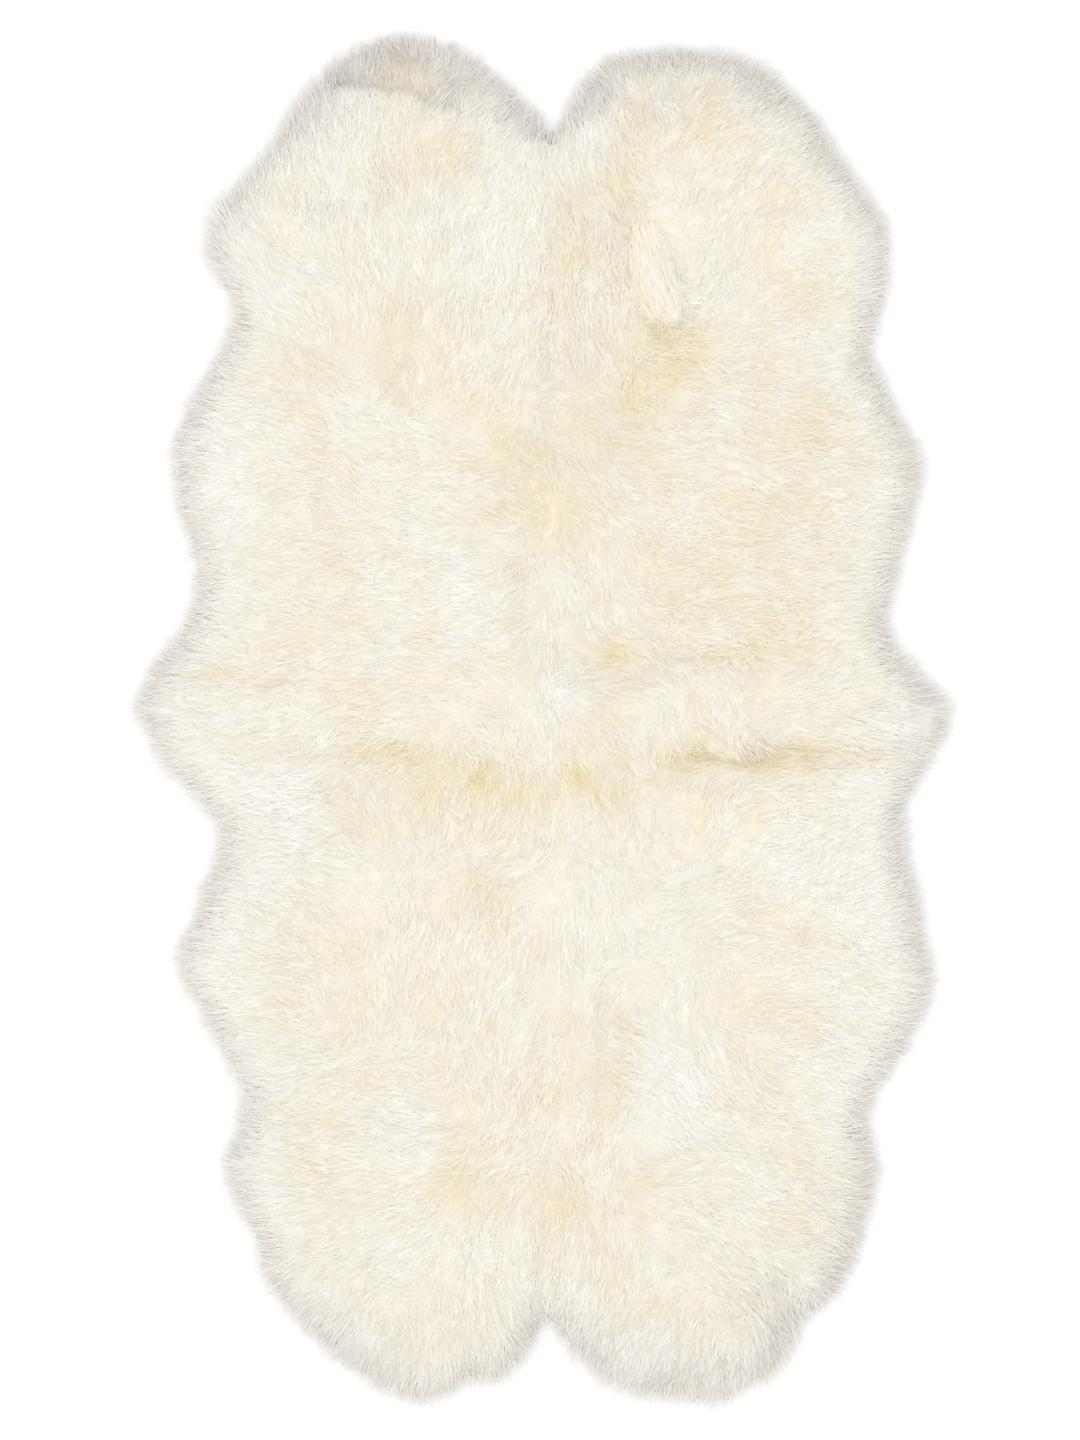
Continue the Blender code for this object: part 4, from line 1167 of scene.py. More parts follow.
def fill(loop, points):
    every = np.vstack([loop, points]) if len(points) else loop
    coords, _, faces, origin, _, _ = delaunay_2d_cdt(
        [tuple(q * 100) for q in every], [], [list(range(len(loop)))], 1, 1e-7)
    back = [o[0] for o in origin]
    out = []
    for f in faces:
        a, b, c = (every[back[i]] for i in f)
        ccw = (b[0] - a[0]) * (c[1] - a[1]) - (b[1] - a[1]) * (c[0] - a[0]) > 0
        f = [back[i] for i in f]
        out.append(f if ccw else f[::-1])
    return out


def add_mesh(name, verts, faces, mats, smooth=True):
    me = bpy.data.meshes.new(name)
    me.from_pydata([tuple(v) for v in verts], [], faces)
    me.update()
    if smooth:
        me.shade_smooth()
    for m in mats:
        me.materials.append(m)
    ob = bpy.data.objects.new(name, me)
    bpy.context.scene.collection.objects.link(ob)
    return ob


def ccw(loop):
    x, y = loop[:, 0], loop[:, 1]
    return np.sum(x * np.roll(y, -1) - np.roll(x, -1) * y) > 0


def bed(k, mat):
    """The closed body of underwool of one pelt, which the strands grow out of."""
    name, edge, up, right = PELTS[k]
    loop, n_free = pelt_loop(k, BACK + 0.0060, 0.0, 0.012)
    if not ccw(loop):
        loop = loop[::-1]
    rng = np.random.default_rng(70 + k)
    lo, hi = loop.min(0), loop.max(0)
    sp = 0.0095
    nx, ny = int((hi[0] - lo[0]) / sp) + 1, int((hi[1] - lo[1]) / (sp * 0.866)) + 1
    j, i = np.meshgrid(np.arange(ny), np.arange(nx), indexing="ij")
    g = np.stack([lo[0] + (i + 0.5 * (j % 2)) * sp, lo[1] + j * sp * 0.866], -1).reshape(-1, 2)
    g += rng.uniform(-0.2, 0.2, g.shape) * sp
    ring = np.vstack([loop, loop[:1]])
    g = g[inside(g, loop)]
    g = g[distance(g, ring) > 0.0048]

    def top_z(p):
        zone = zone_of(p)
        zone = np.where(zone == NECK, NECK, k)
        deep = sample(THICK[None], p)[:, 0]
        at, n = surface(p, along_at(np.maximum(deep, 0.0005)), zone)
        down = BED + (EDGE_BED - BED) * (1 - ramp(deep, 0.0, 0.035))
        roll = np.sqrt(1 - np.clip(1 - deep / EDGE_ROLL, 0, 1) ** 2)
        for z in set(zone):
            at[zone == z, 2] -= roll[zone == z] * sample(DIP[z][None], p[zone == z])[:, 0]
        return np.maximum(at[:, 2] - down * (0.6 + 0.4 * n[:, 2]), 0.009)

    s = sample(THICK[None], g)[:, 0]
    low_pts = g[(s > 0.016)][::3]
    m = len(loop)
    sl = sample(THICK[None], loop)[:, 0]
    verts = [(*q, z) for q, z in zip(loop, top_z(loop))]
    verts += [(*q, 0.0018 if d > 0.014 else 0.0050) for q, d in zip(loop, sl)]
    verts += [(*q, z) for q, z in zip(g, top_z(g))]
    first_low = len(verts)
    verts += [(*q, 0.0018) for q in low_pts]
    faces = []
    for f in fill(loop, g):
        faces.append([v if v < m else v + m for v in f])
    for f in fill(loop, low_pts):
        faces.append([(v + m if v < m else v - m + first_low) for v in f][::-1])
    for q in range(m):
        r = (q + 1) % m
        faces.append([q + m, r + m, r, q])
    ob = add_mesh("underwool_" + name, verts, faces, [mat])
    flat = np.ones(len(ob.data.polygons), bool)
    flat[-m:] = False                              # the side walls keep their own shading
    ob.data.polygons.foreach_set("use_smooth", flat)
    ends = np.empty(2 * len(ob.data.edges), np.int32)
    ob.data.edges.foreach_get("vertices", ends)
    ring_edge = ((ends >= m) & (ends < 2 * m)).reshape(-1, 2).all(1)
    ob.data.attributes.new("sharp_edge", "BOOLEAN", "EDGE").data.foreach_set("value", ring_edge)
    # its colour follows the wool's: warmth, and dullness and painted shade at the edge
    at = np.array(verts)[:, :2]
    warm, dull_and_shade = sample(np.stack([WARMTH, DULL_AND_SHADE]), at).T
    warm = np.clip(warm + rng.normal(0, 0.03, len(at)), 0.01, 0.99)
    corner = np.empty(len(ob.data.loops), np.int32)
    ob.data.loops.foreach_get("vertex_index", corner)
    uv = ob.data.uv_layers.new(name="OFBake", do_init=False)
    uv.uv.foreach_set("vector", np.stack([warm, 0.56 - 0.48 * dull_and_shade], 1)[corner].astype(np.float32).ravel())
    return ob


def hide(k, mat):
    """The skin of one pelt: a thin sheet, its sewn edges lifted a little where the thread runs."""
    name, edge, up, right = PELTS[k]
    loop, n_free = pelt_loop(k, SKIN_INSET, 0.00025, 0.010)
    if not ccw(loop):
        loop = loop[::-1]
    rng = np.random.default_rng(90 + k)
    lo, hi = loop.min(0), loop.max(0)
    sp = 0.020
    nx, ny = int((hi[0] - lo[0]) / sp) + 1, int((hi[1] - lo[1]) / (sp * 0.866)) + 1
    j, i = np.meshgrid(np.arange(ny), np.arange(nx), indexing="ij")
    g = np.stack([lo[0] + (i + 0.5 * (j % 2)) * sp, lo[1] + j * sp * 0.866], -1).reshape(-1, 2)
    ring = np.vstack([loop, loop[:1]])
    g = g[inside(g, loop)]
    g = g[distance(g, ring) > 0.012]
    rows = []
    for off in (0.003, 0.007):
        d = unit(np.roll(loop, -1, 0) - np.roll(loop, 1, 0))
        q = loop + np.stack([-d[:, 1], d[:, 0]], 1) * off
        q = q[inside(q, loop)]
        q = q[distance(q, ring) > 0.85 * off]
        rows.append(q)
    g = np.vstack([g] + rows)

    def lift(p):
        got = np.abs(sample(np.stack([UP, RIGHT]), p)).min(1)
        return 0.0013 * np.exp(-(got / 0.0035) ** 2)

    m = len(loop)
    verts = [(*q, z) for q, z in zip(loop, lift(loop))]
    verts += [(*q, z + SKIN) for q, z in zip(loop, lift(loop))]
    n0 = len(verts)
    verts += [(*q, z) for q, z in zip(g, lift(g))]
    n1 = len(verts)
    verts += [(*q, z + SKIN) for q, z in zip(g, lift(g))]
    faces = []
    for f in fill(loop, g):
        faces.append([(v if v < m else v - m + n0) for v in f][::-1])
        faces.append([(v + m if v < m else v - m + n1) for v in f])
    for q in range(m):
        r = (q + 1) % m
        faces.append([q, r, r + m, q + m])
    ob = add_mesh("skin_" + name, verts, faces, [mat])
    x, y = loop[:, 0], loop[:, 1]
    area = 0.5 * abs(np.sum(x * np.roll(y, -1) - np.roll(x, -1) * y))
    return ob, tuple(float(v) for v in np.ptp(loop, axis=0)), float(area)


def stitches(mat):
    """The thread of the seams, seen from below: short slanted stitches over the raised joint."""
    rng = np.random.default_rng(77)
    corner = np.array([[1.0, 0.0], [0.0, 1.0], [-1.0, 0.0], [0.0, -1.0]]) * 0.00027
    verts, faces = [], []
    for seam in (SPINE, CROSS):
        line = even(seam, 0.0052)
        d = unit(np.gradient(line, axis=0))
        line, d = line[(deep := sample(SD[None], line)[:, 0]) > SKIN_INSET + 0.004], d[deep > SKIN_INSET + 0.004]
        side = np.stack([-d[:, 1], d[:, 0]], 1)
        n = len(line)
        slant = 0.0013 + rng.normal(0, 0.0002, n)
        reach = 0.0031 + rng.normal(0, 0.0002, n)
        first = np.arange(n) * 16 + len(verts)
        block = np.empty((n, 4, 4, 3))
        for j, t in enumerate((-1.0, -0.4, 0.4, 1.0)):
            off = reach * t
            q = line + side * off[:, None] + d * (slant * t)[:, None]
            z = 0.0013 * np.exp(-(off / 0.0035) ** 2) - 0.00018 + (0.0006 if abs(t) == 1 else 0)
            run = unit(side * reach[:, None] + d * slant[:, None])
            flat = np.stack([-run[:, 1], run[:, 0]], 1)
            for c, (a, b) in enumerate(corner):
                block[:, j, c, :2] = q + flat * a
                block[:, j, c, 2] = np.maximum(z + b, 0.00006)
        verts += [tuple(v) for v in block.reshape(-1, 3)]
        for f in first:
            for j in range(3):
                for c in range(4):
                    e = (c + 1) % 4
                    faces.append([int(f + 4 * j + c), int(f + 4 * j + e), int(f + 4 * j + 4 + e), int(f + 4 * j + 4 + c)])
            faces.append([int(f + c) for c in (3, 2, 1, 0)])
            faces.append([int(f + 12 + c) for c in (0, 1, 2, 3)])
    return add_mesh("seam_stitches", verts, faces, [mat])


# ============================================================ lights, camera
def studio():
    scene = bpy.context.scene
    scene.view_settings.view_transform = "Standard"
    world = bpy.data.worlds.new("studio")
    scene.world = world
    world.use_nodes = True
    bg = world.node_tree.nodes["Background"]
    bg.inputs["Color"].default_value = (1.0, 1.0, 1.0, 1)
    bg.inputs["Strength"].default_value = 0.518

    # a wide light overhead, and a soft one from the lower left
    top = bpy.data.lights.new("overhead", "AREA")
    top.shape, top.size, top.energy = "DISK", 10.0, 362.5
    lamp = bpy.data.objects.new("overhead", top)
    scene.collection.objects.link(lamp)
    lamp.location = (0, 0, 8.0)
    key = bpy.data.lights.new("key", "SUN")
    key.angle = math.radians(60)
    key.energy = 0.717
    lamp = bpy.data.objects.new("key", key)
    scene.collection.objects.link(lamp)
    lamp.rotation_euler = Vector((0.20, 0.32, -0.95)).to_track_quat("-Z", "Y").to_euler()

    m, nt, sh = principled("floor", (0.93, 0.93, 0.93), 0.9, spec=0.0)
    sh.inputs["Emission Color"].default_value = (1, 1, 1, 1)
    sh.inputs["Emission Strength"].default_value = 0.06
    floor = add_mesh("floor", [(-6, -6, 0), (6, -6, 0), (6, 6, 0), (-6, 6, 0)], [[0, 1, 2, 3]], [m], smooth=False)

    # the picture is 1440 dots high, at 1.335 mm a dot on the rug, seen from straight above
    cam = bpy.data.cameras.new("camera")
    cam.sensor_fit, cam.sensor_height = "VERTICAL", 36.0
    height = 5.0
    cam.lens = 36.0 * height / (1440 * 0.001335)
    cam.clip_end = 50
    ob = bpy.data.objects.new("camera", cam)
    scene.collection.objects.link(ob)
    ob.location = (-0.0013 - MIDDLE[0], -0.0007 - MIDDLE[1], height + RIM_Z)
    scene.camera = ob


# ==================================================================== build
def wool(spacing, per, seed, stations, width, depth, spread, fuzz):
    """The strands, in locks that share a turn, a length and a tip."""
    rng = np.random.default_rng(seed)
    lock_p, lock_a = scatter(spacing, seed)
    n = len(lock_p)
    zone = zone_of(lock_p)
    # where the lay parts, the wool stands every way, shorter and denser
    free, = sample(LOOSE[None], lock_p).T
    edge = 1 - ramp(lock_a, A_RIM + 0.010, A_RIM + 0.070)
    # lock traits
    turn = rng.normal(0, 0.18, n) + free * rng.uniform(-2.4, 2.4, n)
    bend = rng.normal(0, 0.30, n)
    length = rng.uniform(0.034, 0.050, n) * (1 - 0.35 * free)
    lift = np.minimum(rng.exponential(0.0008, n), 0.004) + edge * rng.uniform(0, 0.002, n)
    reach = np.clip(rng.normal(0.0020, 0.0055, n), -0.010, 0.015)
    lock_tone = rng.normal(0.22, 0.26, n)
    shade = rng.normal(0, 0.045, n)
    stiffness = np.clip(rng.normal(0.85, 0.22, n), 0.2, 1.1)
    count = rng.poisson(per * (1 + 0.3 * free), n)
    idx = np.repeat(np.arange(n), count)
    m = len(idx)
    # the strand's root, sideways and lengthways in its lock
    lay = unit(sample(LAY, lock_p))[idx]
    side = np.stack([-lay[:, 1], lay[:, 0]], 1)
    across = rng.normal(0, spread, m)
    back = rng.uniform(-1.2, 1.2, m) * spacing
    p, a = lock_p[idx], lock_a[idx]
    p, a = advance(p, a, side * np.sign(across)[:, None], np.abs(across))
    p, a = advance(p, a, lay * np.sign(back)[:, None], np.abs(back))
    root_zone = zone[idx]
    L = length[idx] * rng.uniform(0.80, 1.12, m)
    own = turn[idx] + rng.normal(0, 0.13, m) * (1 + 3 * free[idx])
    # by the edge it ends where the wool ends, one lock further out than the next
    here, out_ = sample(LAY, p), sample(OUT, p)
    c, s = np.cos(own), np.sin(own)
    toward = (c * here[:, 0] - s * here[:, 1]) * out_[:, 0] + (s * here[:, 0] + c * here[:, 1]) * out_[:, 1]
    far = (np.maximum(a - A_RIM, 0) + reach[idx] + rng.normal(0, 0.0015, m)) / np.clip(toward, 0.25, 1)
    L = np.minimum(L, np.maximum(far, 0.011))
    L = up_to_ridge(L, p, root_zone, rng.normal(0, 0.0012, n)[idx] + rng.normal(0, 0.0008, m))
    pull = -(0.50 + 0.35 * edge[idx]) * rng.uniform(0.4, 1.3, m) / L
    tip = lift[idx] + rng.normal(0, 0.0004, m)
    fly = rng.random(m) < fuzz
    tip = np.where(fly, tip + rng.uniform(0.001, 0.005, m), tip)
    root = -(depth + (EDGE_BED - depth) * edge[idx]) * rng.uniform(0.8, 1.3, m)
    offs = [root * (1 - t) ** 2.2 + tip * t ** 1.5 for t in stations]
    out = rng.uniform(0.75, 1.1, m) * stiffness[idx]
    curl = bend[idx] + rng.normal(0, 0.20, m)
    places, normals = grow(p, a, root_zone, own, curl, L, pull, across, offs, out, stations)
    w = width * rng.uniform(0.7, 1.35, m) * np.where(fly, 0.7, 1.0)
    roll = rng.normal(0, 0.20, m) * (1 + edge[idx])
    # dullness and painted shade, as the field gives them
    warm, dull_and_shade = sample(np.stack([WARMTH, DULL_AND_SHADE]), p).T
    u = np.clip(warm + shade[idx] + rng.normal(0, 0.045, m), 0.01, 0.99)
    dull_and_shade = dull_and_shade * (1 + 6 * shade[idx] + rng.normal(0, 0.30, m)) + rng.exponential(0.05, m)
    dull_and_shade = np.clip(dull_and_shade + edge[idx] * (rng.exponential(0.12, m) - 0.12), 0, 1)
    tone = np.clip(lock_tone[idx] + rng.normal(0, 0.22, m), 0, 0.95)
    return kept([places, normals, w, roll, u, dull_and_shade, tone, edge[idx], np.where(root_zone == NECK, UL, root_zone)])


def up_to_ridge(L, p, zone, uneven):
    """Strands of the upper left pelt end where its thick wool ends, over the short neck wool."""
    past, on = sample(np.stack([PAST_RIDGE, RIDGE_ON * STEP]), p).T
    return np.where((zone == UL) & (on > 0.3) & (past > -0.07), np.minimum(L, np.maximum(0.0035 - past + uneven, 0.008)), L)


def filler(parts, want, seed=15):
    """Short strands where the others lie too far apart."""
    rng = np.random.default_rng(seed)
    thin = np.clip(want - cover(parts), 0, 1) * (THICK > 0.012)
    count = rng.poisson(thin * CELL ** 2 / (0.022 * 0.0008 * 0.75)).ravel()
    middle = np.repeat(FLAT, count, 0)
    m = len(middle)
    middle = middle + rng.uniform(-0.5, 0.5, (m, 2)) * CELL
    L = rng.uniform(0.018, 0.027, m)
    own = rng.normal(0, 0.75, m)
    lay = unit(sample(LAY, middle))
    c, s = np.cos(own), np.sin(own)
    d = np.stack([c * lay[:, 0] - s * lay[:, 1], s * lay[:, 0] + c * lay[:, 1]], 1)
    a = along_at(np.maximum(sample(THICK[None], middle)[:, 0], 0.004))
    p, a = advance(middle, a, -d, 0.5 * L)
    zone = zone_of(p)
    L = up_to_ridge(L, p, zone, rng.normal(0, 0.001, m))
    tip = np.minimum(rng.exponential(0.0010, m), 0.004)
    offs = [-0.0012 * (1 - t) ** 2 + tip * t ** 1.5 for t in (0.0, 0.52, 1.0)]
    none = np.zeros(m)
    places, normals = grow(p, a, zone, own, rng.normal(0, 0.4, m), L, none, none, offs, none + 0.5, (0.0, 0.52, 1.0))
    # dullness and painted shade, as the field gives them
    warm, dull_and_shade = sample(np.stack([WARMTH, DULL_AND_SHADE]), p).T
    u = np.clip(warm + rng.normal(0, 0.06, m), 0.01, 0.99)
    dull_and_shade = np.clip(dull_and_shade * (1 + rng.normal(0, 0.25, m)) + rng.exponential(0.05, m), 0, 1)
    tone = np.clip(rng.normal(0.30, 0.30, m), 0, 0.95)
    edge = 1 - ramp(a, A_RIM + 0.010, A_RIM + 0.070)
    return kept([places, normals, 0.0008 * rng.uniform(0.7, 1.35, m), rng.normal(0, 0.25, m), u, dull_and_shade, tone, edge,
                 np.where(zone == NECK, UL, zone)])


def laid_over(seed=33):
    """The locks that lie over the rest: strands along each lock's middle line, to a rounded end."""
    rng = np.random.default_rng(seed)
    all_ = []
    for _, half, n, lift, warmer, points in LOCKS:
        line = spline([("", *p) for p in points], 0.002)
        along = np.concatenate([[0], np.cumsum(np.linalg.norm(np.diff(line, axis=0), axis=1))])
        ahead = unit(np.gradient(line, axis=0))
        S = along[-1]
        c = np.clip(rng.normal(0, 0.55, n), -1.3, 1.3)            # sideways place in the lock
        start = rng.uniform(-0.04, 0.84, n) * S
        end = S * (1 - 0.12 * c * c) + rng.normal(0, 0.0045, n)
        stop = np.minimum(start + rng.uniform(0.026, 0.046, n), end)
        curl = rng.normal(0, 0.0035, n)
        share_up = rng.uniform(0.35, 1.0, n)
        places, normals = [], []
        for t in STATIONS:
            at = start + (stop - start) * t
            share = at / S
            mid = np.stack([np.interp(at, along, line[:, i]) for i in (0, 1)], 1)
            d = unit(np.stack([np.interp(at, along, ahead[:, i]) for i in (0, 1)], 1))
            mid = mid + d * np.minimum(at, 0)[:, None] + d * np.maximum(at - S, 0)[:, None]
            side = np.stack([-d[:, 1], d[:, 0]], 1)
            w = half * (0.70 + 0.30 * ramp(share, 0, 0.5)) * (1 - 0.45 * ramp(share, 0.70, 1.02) ** 2)
            q = mid + side * (c * w + curl * math.sin(2.6 * t))[:, None]
            if not len(places):
                zone = zone_of(q)
                # dullness and painted shade, as the field gives them
                warm, dull_and_shade, deep = sample(np.stack([WARMTH, DULL_AND_SHADE, THICK]), q).T
            p, nrm = surface(q, along_at(np.maximum(sample(THICK[None], q)[:, 0], 0.002)), zone)
            rise = lift * ramp(share, -0.1, 0.45) * (1 - 0.80 * ramp(share, 0.84, 1.03)) * (1 - 0.65 * np.minimum(c * c, 1.3))
            p[:, 2] += share_up * rise - 0.0015 * (1 - t) ** 2 + 0.0004
            steep = min(1.0, lift / 0.005)
            lean = side * (0.55 * steep * c)[:, None] + d * (0.60 * steep * ramp(share, 0.80, 1.02))[:, None]
            nrm[:, :2] += lean
            places.append(p)
            normals.append(unit(nrm))
        ok = stop - start > 0.010
        u = np.clip(warm + warmer + rng.normal(0, 0.05, n), 0.01, 0.99)
        dull_and_shade = np.clip(dull_and_shade * rng.uniform(0.6, 1.2, n) + rng.exponential(0.05, n), 0, 1)
        tone = np.clip(rng.normal(0.42, 0.24, n), 0, 0.9)
        part = [places, normals, 0.00085 * rng.uniform(0.7, 1.3, n), rng.normal(0, 0.3, n), u, dull_and_shade, tone,
                1 - ramp(deep, 0.010, 0.050), zone]
        all_.append([[q[ok] for q in part[0]], [q[ok] for q in part[1]]] + [q[ok] for q in part[2:]])
    whole = all_[0]
    for part in all_[1:]:
        whole = joined(whole, part)
    return kept(whole)


def fringe(seed=9):
    """Pointed tufts and single hairs that stand out round the edge, and wool that shows beside
    the skin underneath."""
    rng = np.random.default_rng(seed)
    fine = even(np.vstack([OUTLINE, OUTLINE[:1]]), 0.002)[:-1]
    uneven = np.stack([noise(0.020, 91), noise(0.045, 92)])

    def stand(n, per, up, tips, spread, aim, width, stations):
        k = rng.integers(0, len(fine), n)
        edge = fine[k] + rng.uniform(-0.001, 0.001, (n, 2))
        got = sample(uneven, edge)
        root = rng.uniform(*up, n)                       # how far up from the rim it grows
        proud = tips(n) + 0.0030 * got[:, 0] + 0.0020 * got[:, 1]
        turn = rng.normal(0, aim, n) + 0.30 * got[:, 1]
        stiff = np.clip(rng.normal(0.95, 0.10, n), 0.6, 1.1)
        shade = rng.normal(0, 0.04, n)
        count = rng.poisson(per - 1, n) + 1 if per > 1 else np.ones(n, int)
        i = np.repeat(np.arange(n), count)
        m = len(i)
        a = A_RIM + root[i] + rng.normal(0, 0.002, m)
        p = edge[i] - sample(OUT, edge[i]) * (inset_at(a) + sample(BACK_AT[None], edge[i])[:, 0])[:, None]
        lay = unit(sample(LAY, p) + 0.6 * sample(OUT, p))
        side = np.stack([-lay[:, 1], lay[:, 0]], 1)
        across = rng.normal(0, spread, m)
        p, a = advance(p, a, side * np.sign(across)[:, None], np.abs(across))
        zone = zone_of(p)
        L = np.clip(np.maximum(a - A_RIM, 0) + proud[i] + rng.normal(0, 0.0012, m), 0.012, 0.058)
        # it lies more straight out than the wool round it
        here, want = unit(sample(LAY, p)), lay
        more = np.arctan2(here[:, 0] * want[:, 1] - here[:, 1] * want[:, 0], (here * want).sum(1))
        own = turn[i] + more + rng.normal(0, 0.05, m)
        tip = np.abs(rng.normal(0.0006, 0.0010, m))
        offs = [-0.0045 * (1 - t) ** 2 + tip * t for t in stations]
        places, normals = grow(p, a, zone, own, rng.normal(0, 0.2, m), L, -0.9 * rng.uniform(0.7, 1.1, m) / L, across, offs,
                               stiff[i] * rng.uniform(0.9, 1.08, m), stations)
        # dullness and painted shade, as the field gives them
        warm, dull_and_shade = sample(np.stack([WARMTH, DULL_AND_SHADE]), p).T
        u = np.clip(warm + shade[i] + rng.normal(0, 0.03, m), 0.01, 0.99)
        dull_and_shade = np.clip(dull_and_shade * rng.normal(1.0, 0.25, m), 0, 1)
        tone = np.clip(rng.normal(0.20, 0.22, m), 0, 0.95)
        return kept([places, normals, rng.uniform(*width, m), rng.normal(0, 0.5, m), u, dull_and_shade, tone, np.ones(m), zone])

    def halo(n):
        k = rng.integers(0, len(fine), n)
        edge = fine[k] + rng.uniform(-0.001, 0.001, (n, 2))
        got = sample(uneven, edge)
        out, back = sample(OUT, edge), sample(BACK_AT[None], edge)
        across = np.stack([-out[:, 1], out[:, 0]], 1)
        rim = edge - out * back                                # where the thick wool reaches to
        root_in = rng.uniform(0.004, 0.030, n)
        past = np.clip(0.0034 + rng.exponential(0.0088, n) + 0.0020 * got[:, 0] + 0.0015 * got[:, 1], 0.001, 0.029)
        root = rim - out * root_in[:, None]
        zone = zone_of(root)
        lay = unit(sample(LAY, root))
        slant = (lay * across).sum(1) / np.maximum((lay * out).sum(1), 0.45)
        slant = 0.8 * np.clip(slant, -1.2, 1.2) + rng.normal(0, 0.30, n) + 0.20 * got[:, 1]
        p0, _ = surface(root, along_at(root_in), zone)
        p0[:, 2] -= 0.0035
        tip = rim + out * past[:, None] + across * (slant * (root_in + past))[:, None]
        p2 = np.column_stack([tip, np.clip(RIM_Z + rng.normal(0.001, 0.006, n), 0.002, 0.032)])
        p1 = 0.5 * (p0 + p2)
        p1[:, 2] += 0.30 * (p0[:, 2] - p2[:, 2]) + 0.0015
        p1[:, :2] += across * rng.normal(0, 0.0030, (n, 1))
        places, normals = [], []
        up = np.array([0, 0, 1.0])
        for t in (0.0, 0.40, 0.76, 1.0):
            places.append((1 - t) ** 2 * p0 + 2 * t * (1 - t) * p1 + t * t * p2)
            d = unit((1 - t) * (p1 - p0) + t * (p2 - p1))
            normals.append(unit(up - d * d[:, 2:3]))
        warm, dull_and_shade = sample(np.stack([WARMTH, DULL_AND_SHADE]), rim).T
        u = np.clip(warm - 0.20 + rng.normal(0, 0.04, n), 0.01, 0.99)
        # the hairs are painted duller and darker, partly as painted soft shade round the rug's edge
        dull_and_shade = np.clip(0.32 + 0.6 * dull_and_shade + rng.normal(0, 0.18, n), 0, 1)
        tone = np.clip(rng.normal(0.45, 0.30, n), 0, 0.95)
        return [places, normals, rng.uniform(0.0004, 0.0008, n), rng.normal(0, 0.5, n), u, dull_and_shade, tone, np.ones(n), zone]

    tufts = stand(2200, 5.0, (0.004, 0.036), lambda n: np.clip(rng.normal(0.0070, 0.0055, n), 0, 0.020),
                  0.0026, 0.26, (0.0005, 0.0010), (0.0, 0.40, 0.80, 1.0))
    hairs = halo(26000)
    # wool under the edge, seen from below
    n = 9000
    k = rng.integers(0, len(fine), n)
    edge = fine[k] - sample(OUT, fine[k]) * sample(BACK_AT[None], fine[k])
    out = sample(OUT, edge)
    t = np.stack([-out[:, 1], out[:, 0]], 1)
    root_in = rng.uniform(0.006, 0.032, n)
    L = rng.uniform(0.018, 0.030, n)
    slant = rng.normal(0, 0.25, n)
    places, normals = [], []
    for s in (0.0, 0.5, 1.0):
        inset = root_in - L * s
        q = edge - out * np.maximum(inset, -0.006)[:, None] + t * (slant * L * s)[:, None]
        tu = np.clip(1 - inset / UNDER_ROLL, 0, 1)
        z = 0.0012 + RIM_Z * (1 - np.sqrt(np.clip(1 - tu * tu, 0, 1))) * (inset < UNDER_ROLL)
        z = z + (0.0022 * (1 - s) if s < 1 else 0)
        z = np.where(inset < 0, RIM_Z, z)
        places.append(np.column_stack([q, z]))
        nn = np.stack([out[:, 0] * tu * 0.8, out[:, 1] * tu * 0.8, -np.ones(n)], 1)
        normals.append(unit(nn))
    width = rng.uniform(0.0010, 0.0018, n)
    inner = edge - out * 0.024
    zone = zone_of(inner)
    ok = sample(THICK[None], inner)[:, 0] > 0.018
    u = np.clip(0.35 + rng.normal(0, 0.07, n), 0.01, 0.99)
    dull_and_shade = np.clip(rng.normal(0.35, 0.15, n), 0, 1)
    under = ([q[ok] for q in places], [q[ok] for q in normals], width[ok], rng.normal(0, 0.3, n)[ok], u[ok],
             dull_and_shade[ok], np.zeros(ok.sum()) + 0.3, np.zeros(ok.sum()), zone[ok])
    return tufts, hairs, under


ROOT_TO_TIP = {3: (0.02, 0.60, 0.98), 4: (0.02, 0.40, 0.72, 0.98)}

wool_mats = [wool_material("wool_" + name) for name, _, _, _ in PELTS]
suede = suede_material()

# long curved strands, and shorter finer ones that fill between them
long_wool = wool(0.0078, 2.30, 5, STATIONS, 0.00090, 0.0028, 0.0034, 0.06)
fine_wool = wool(0.0054, 2.60, 6, (0.0, 0.52, 1.0), 0.00080, 0.0020, 0.0024, 0.08)
tufts, hairs, under = fringe()
fill_wool = filler((long_wool, fine_wool), 1.9 + 1.6 * np.exp(-(RIGHT / 0.006) ** 2) * ramp(YY, 0.12, 0.22))
long_wool = joined(long_wool, laid_over())


def of_pelt(part, k):
    m = np.where(part[-1] == NECK, UL, part[-1]) == k
    return [[q[m] for q in part[0]], [q[m] for q in part[1]]] + [q[m] for q in part[2:-1]]


total = 0
for k, (name, edge, up, right) in enumerate(PELTS):
    made = (("wool_" + name, of_pelt(long_wool, k)),
            ("fine_wool_" + name, joined(of_pelt(fine_wool, k), joined(of_pelt(fill_wool, k), of_pelt(under, k)))),
            ("edge_wool_" + name, joined(of_pelt(tufts, k), of_pelt(hairs, k))))
    for title, part in made:
        K = len(part[0])
        ob = blades(title, *part, ROOT_TO_TIP[K], [wool_mats[k]])
        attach(ob, "root")
        if title.startswith("wool_"):
            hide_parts("pelt_" + name)
        total += 2 * (K - 2) * len(part[2])
        print(title, len(part[2]), "strands", 2 * (K - 2) * len(part[2]), "triangles")
    ob = bed(k, wool_mats[k])
    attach(ob, "root")
    skin, flat, area = hide(k, suede)
    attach(skin, "root")
    for one in (ob, skin):
        one.data.calc_loop_triangles()
        total += len(one.data.loop_triangles)
        print(one.name, len(one.data.loop_triangles), "triangles")
    print("skin", name, flat, area)
thread = stitches(thread_material())
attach(thread, "root")
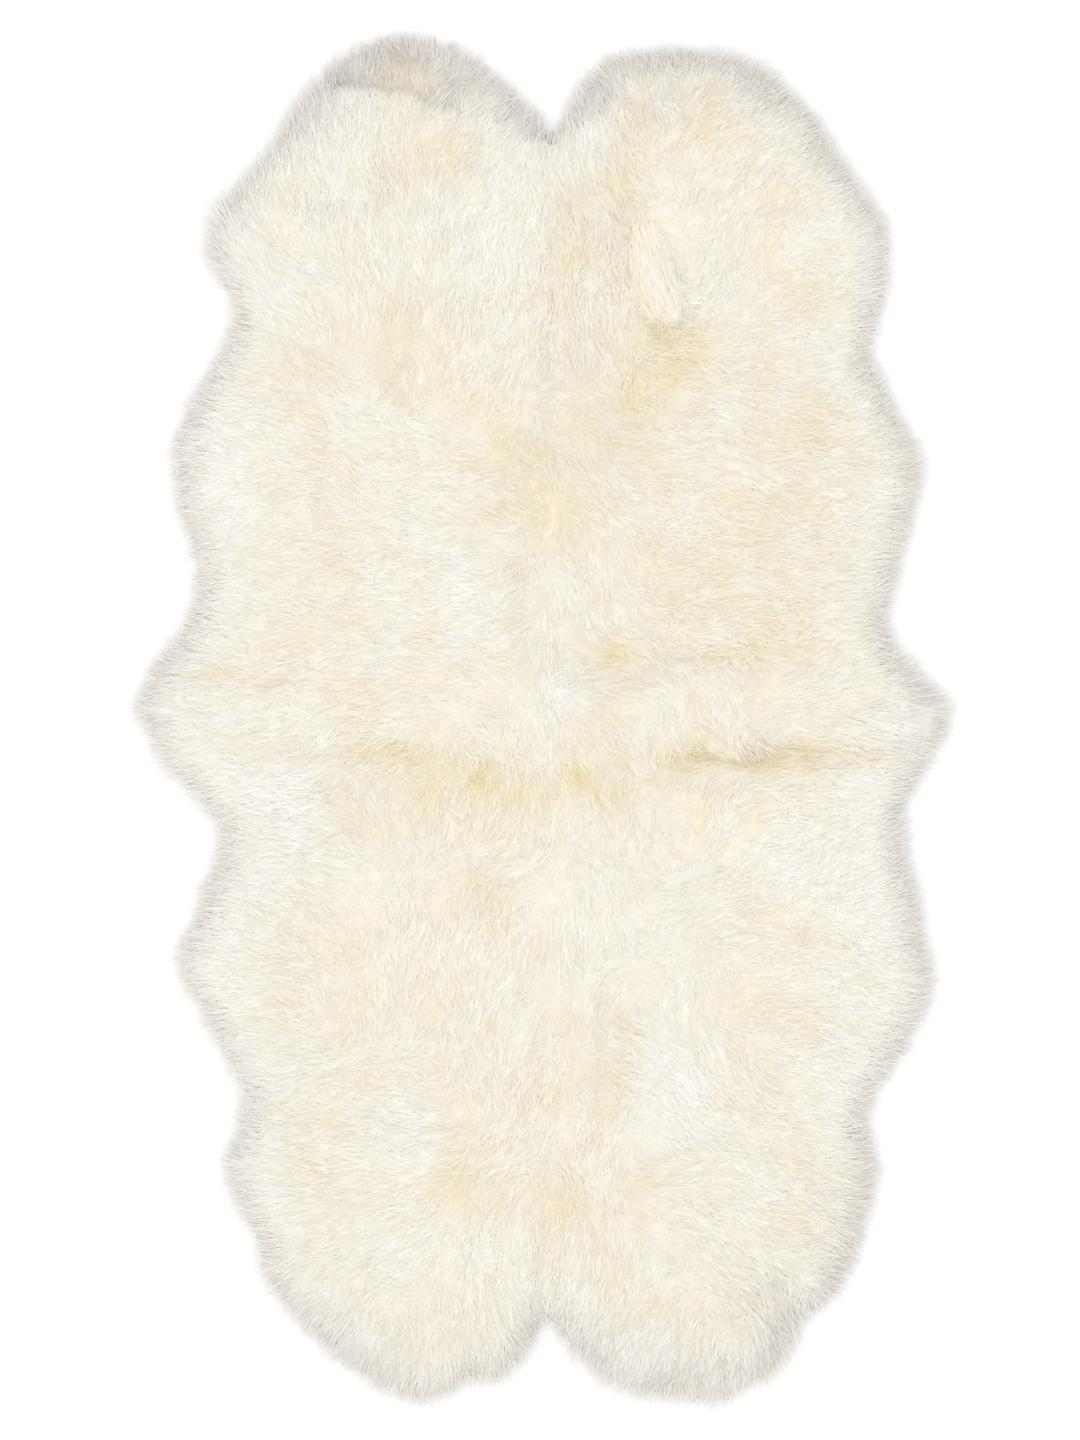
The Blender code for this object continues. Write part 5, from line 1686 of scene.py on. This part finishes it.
thread.data.calc_loop_triangles()
total += len(thread.data.loop_triangles)
print("triangles in all", total)

studio()
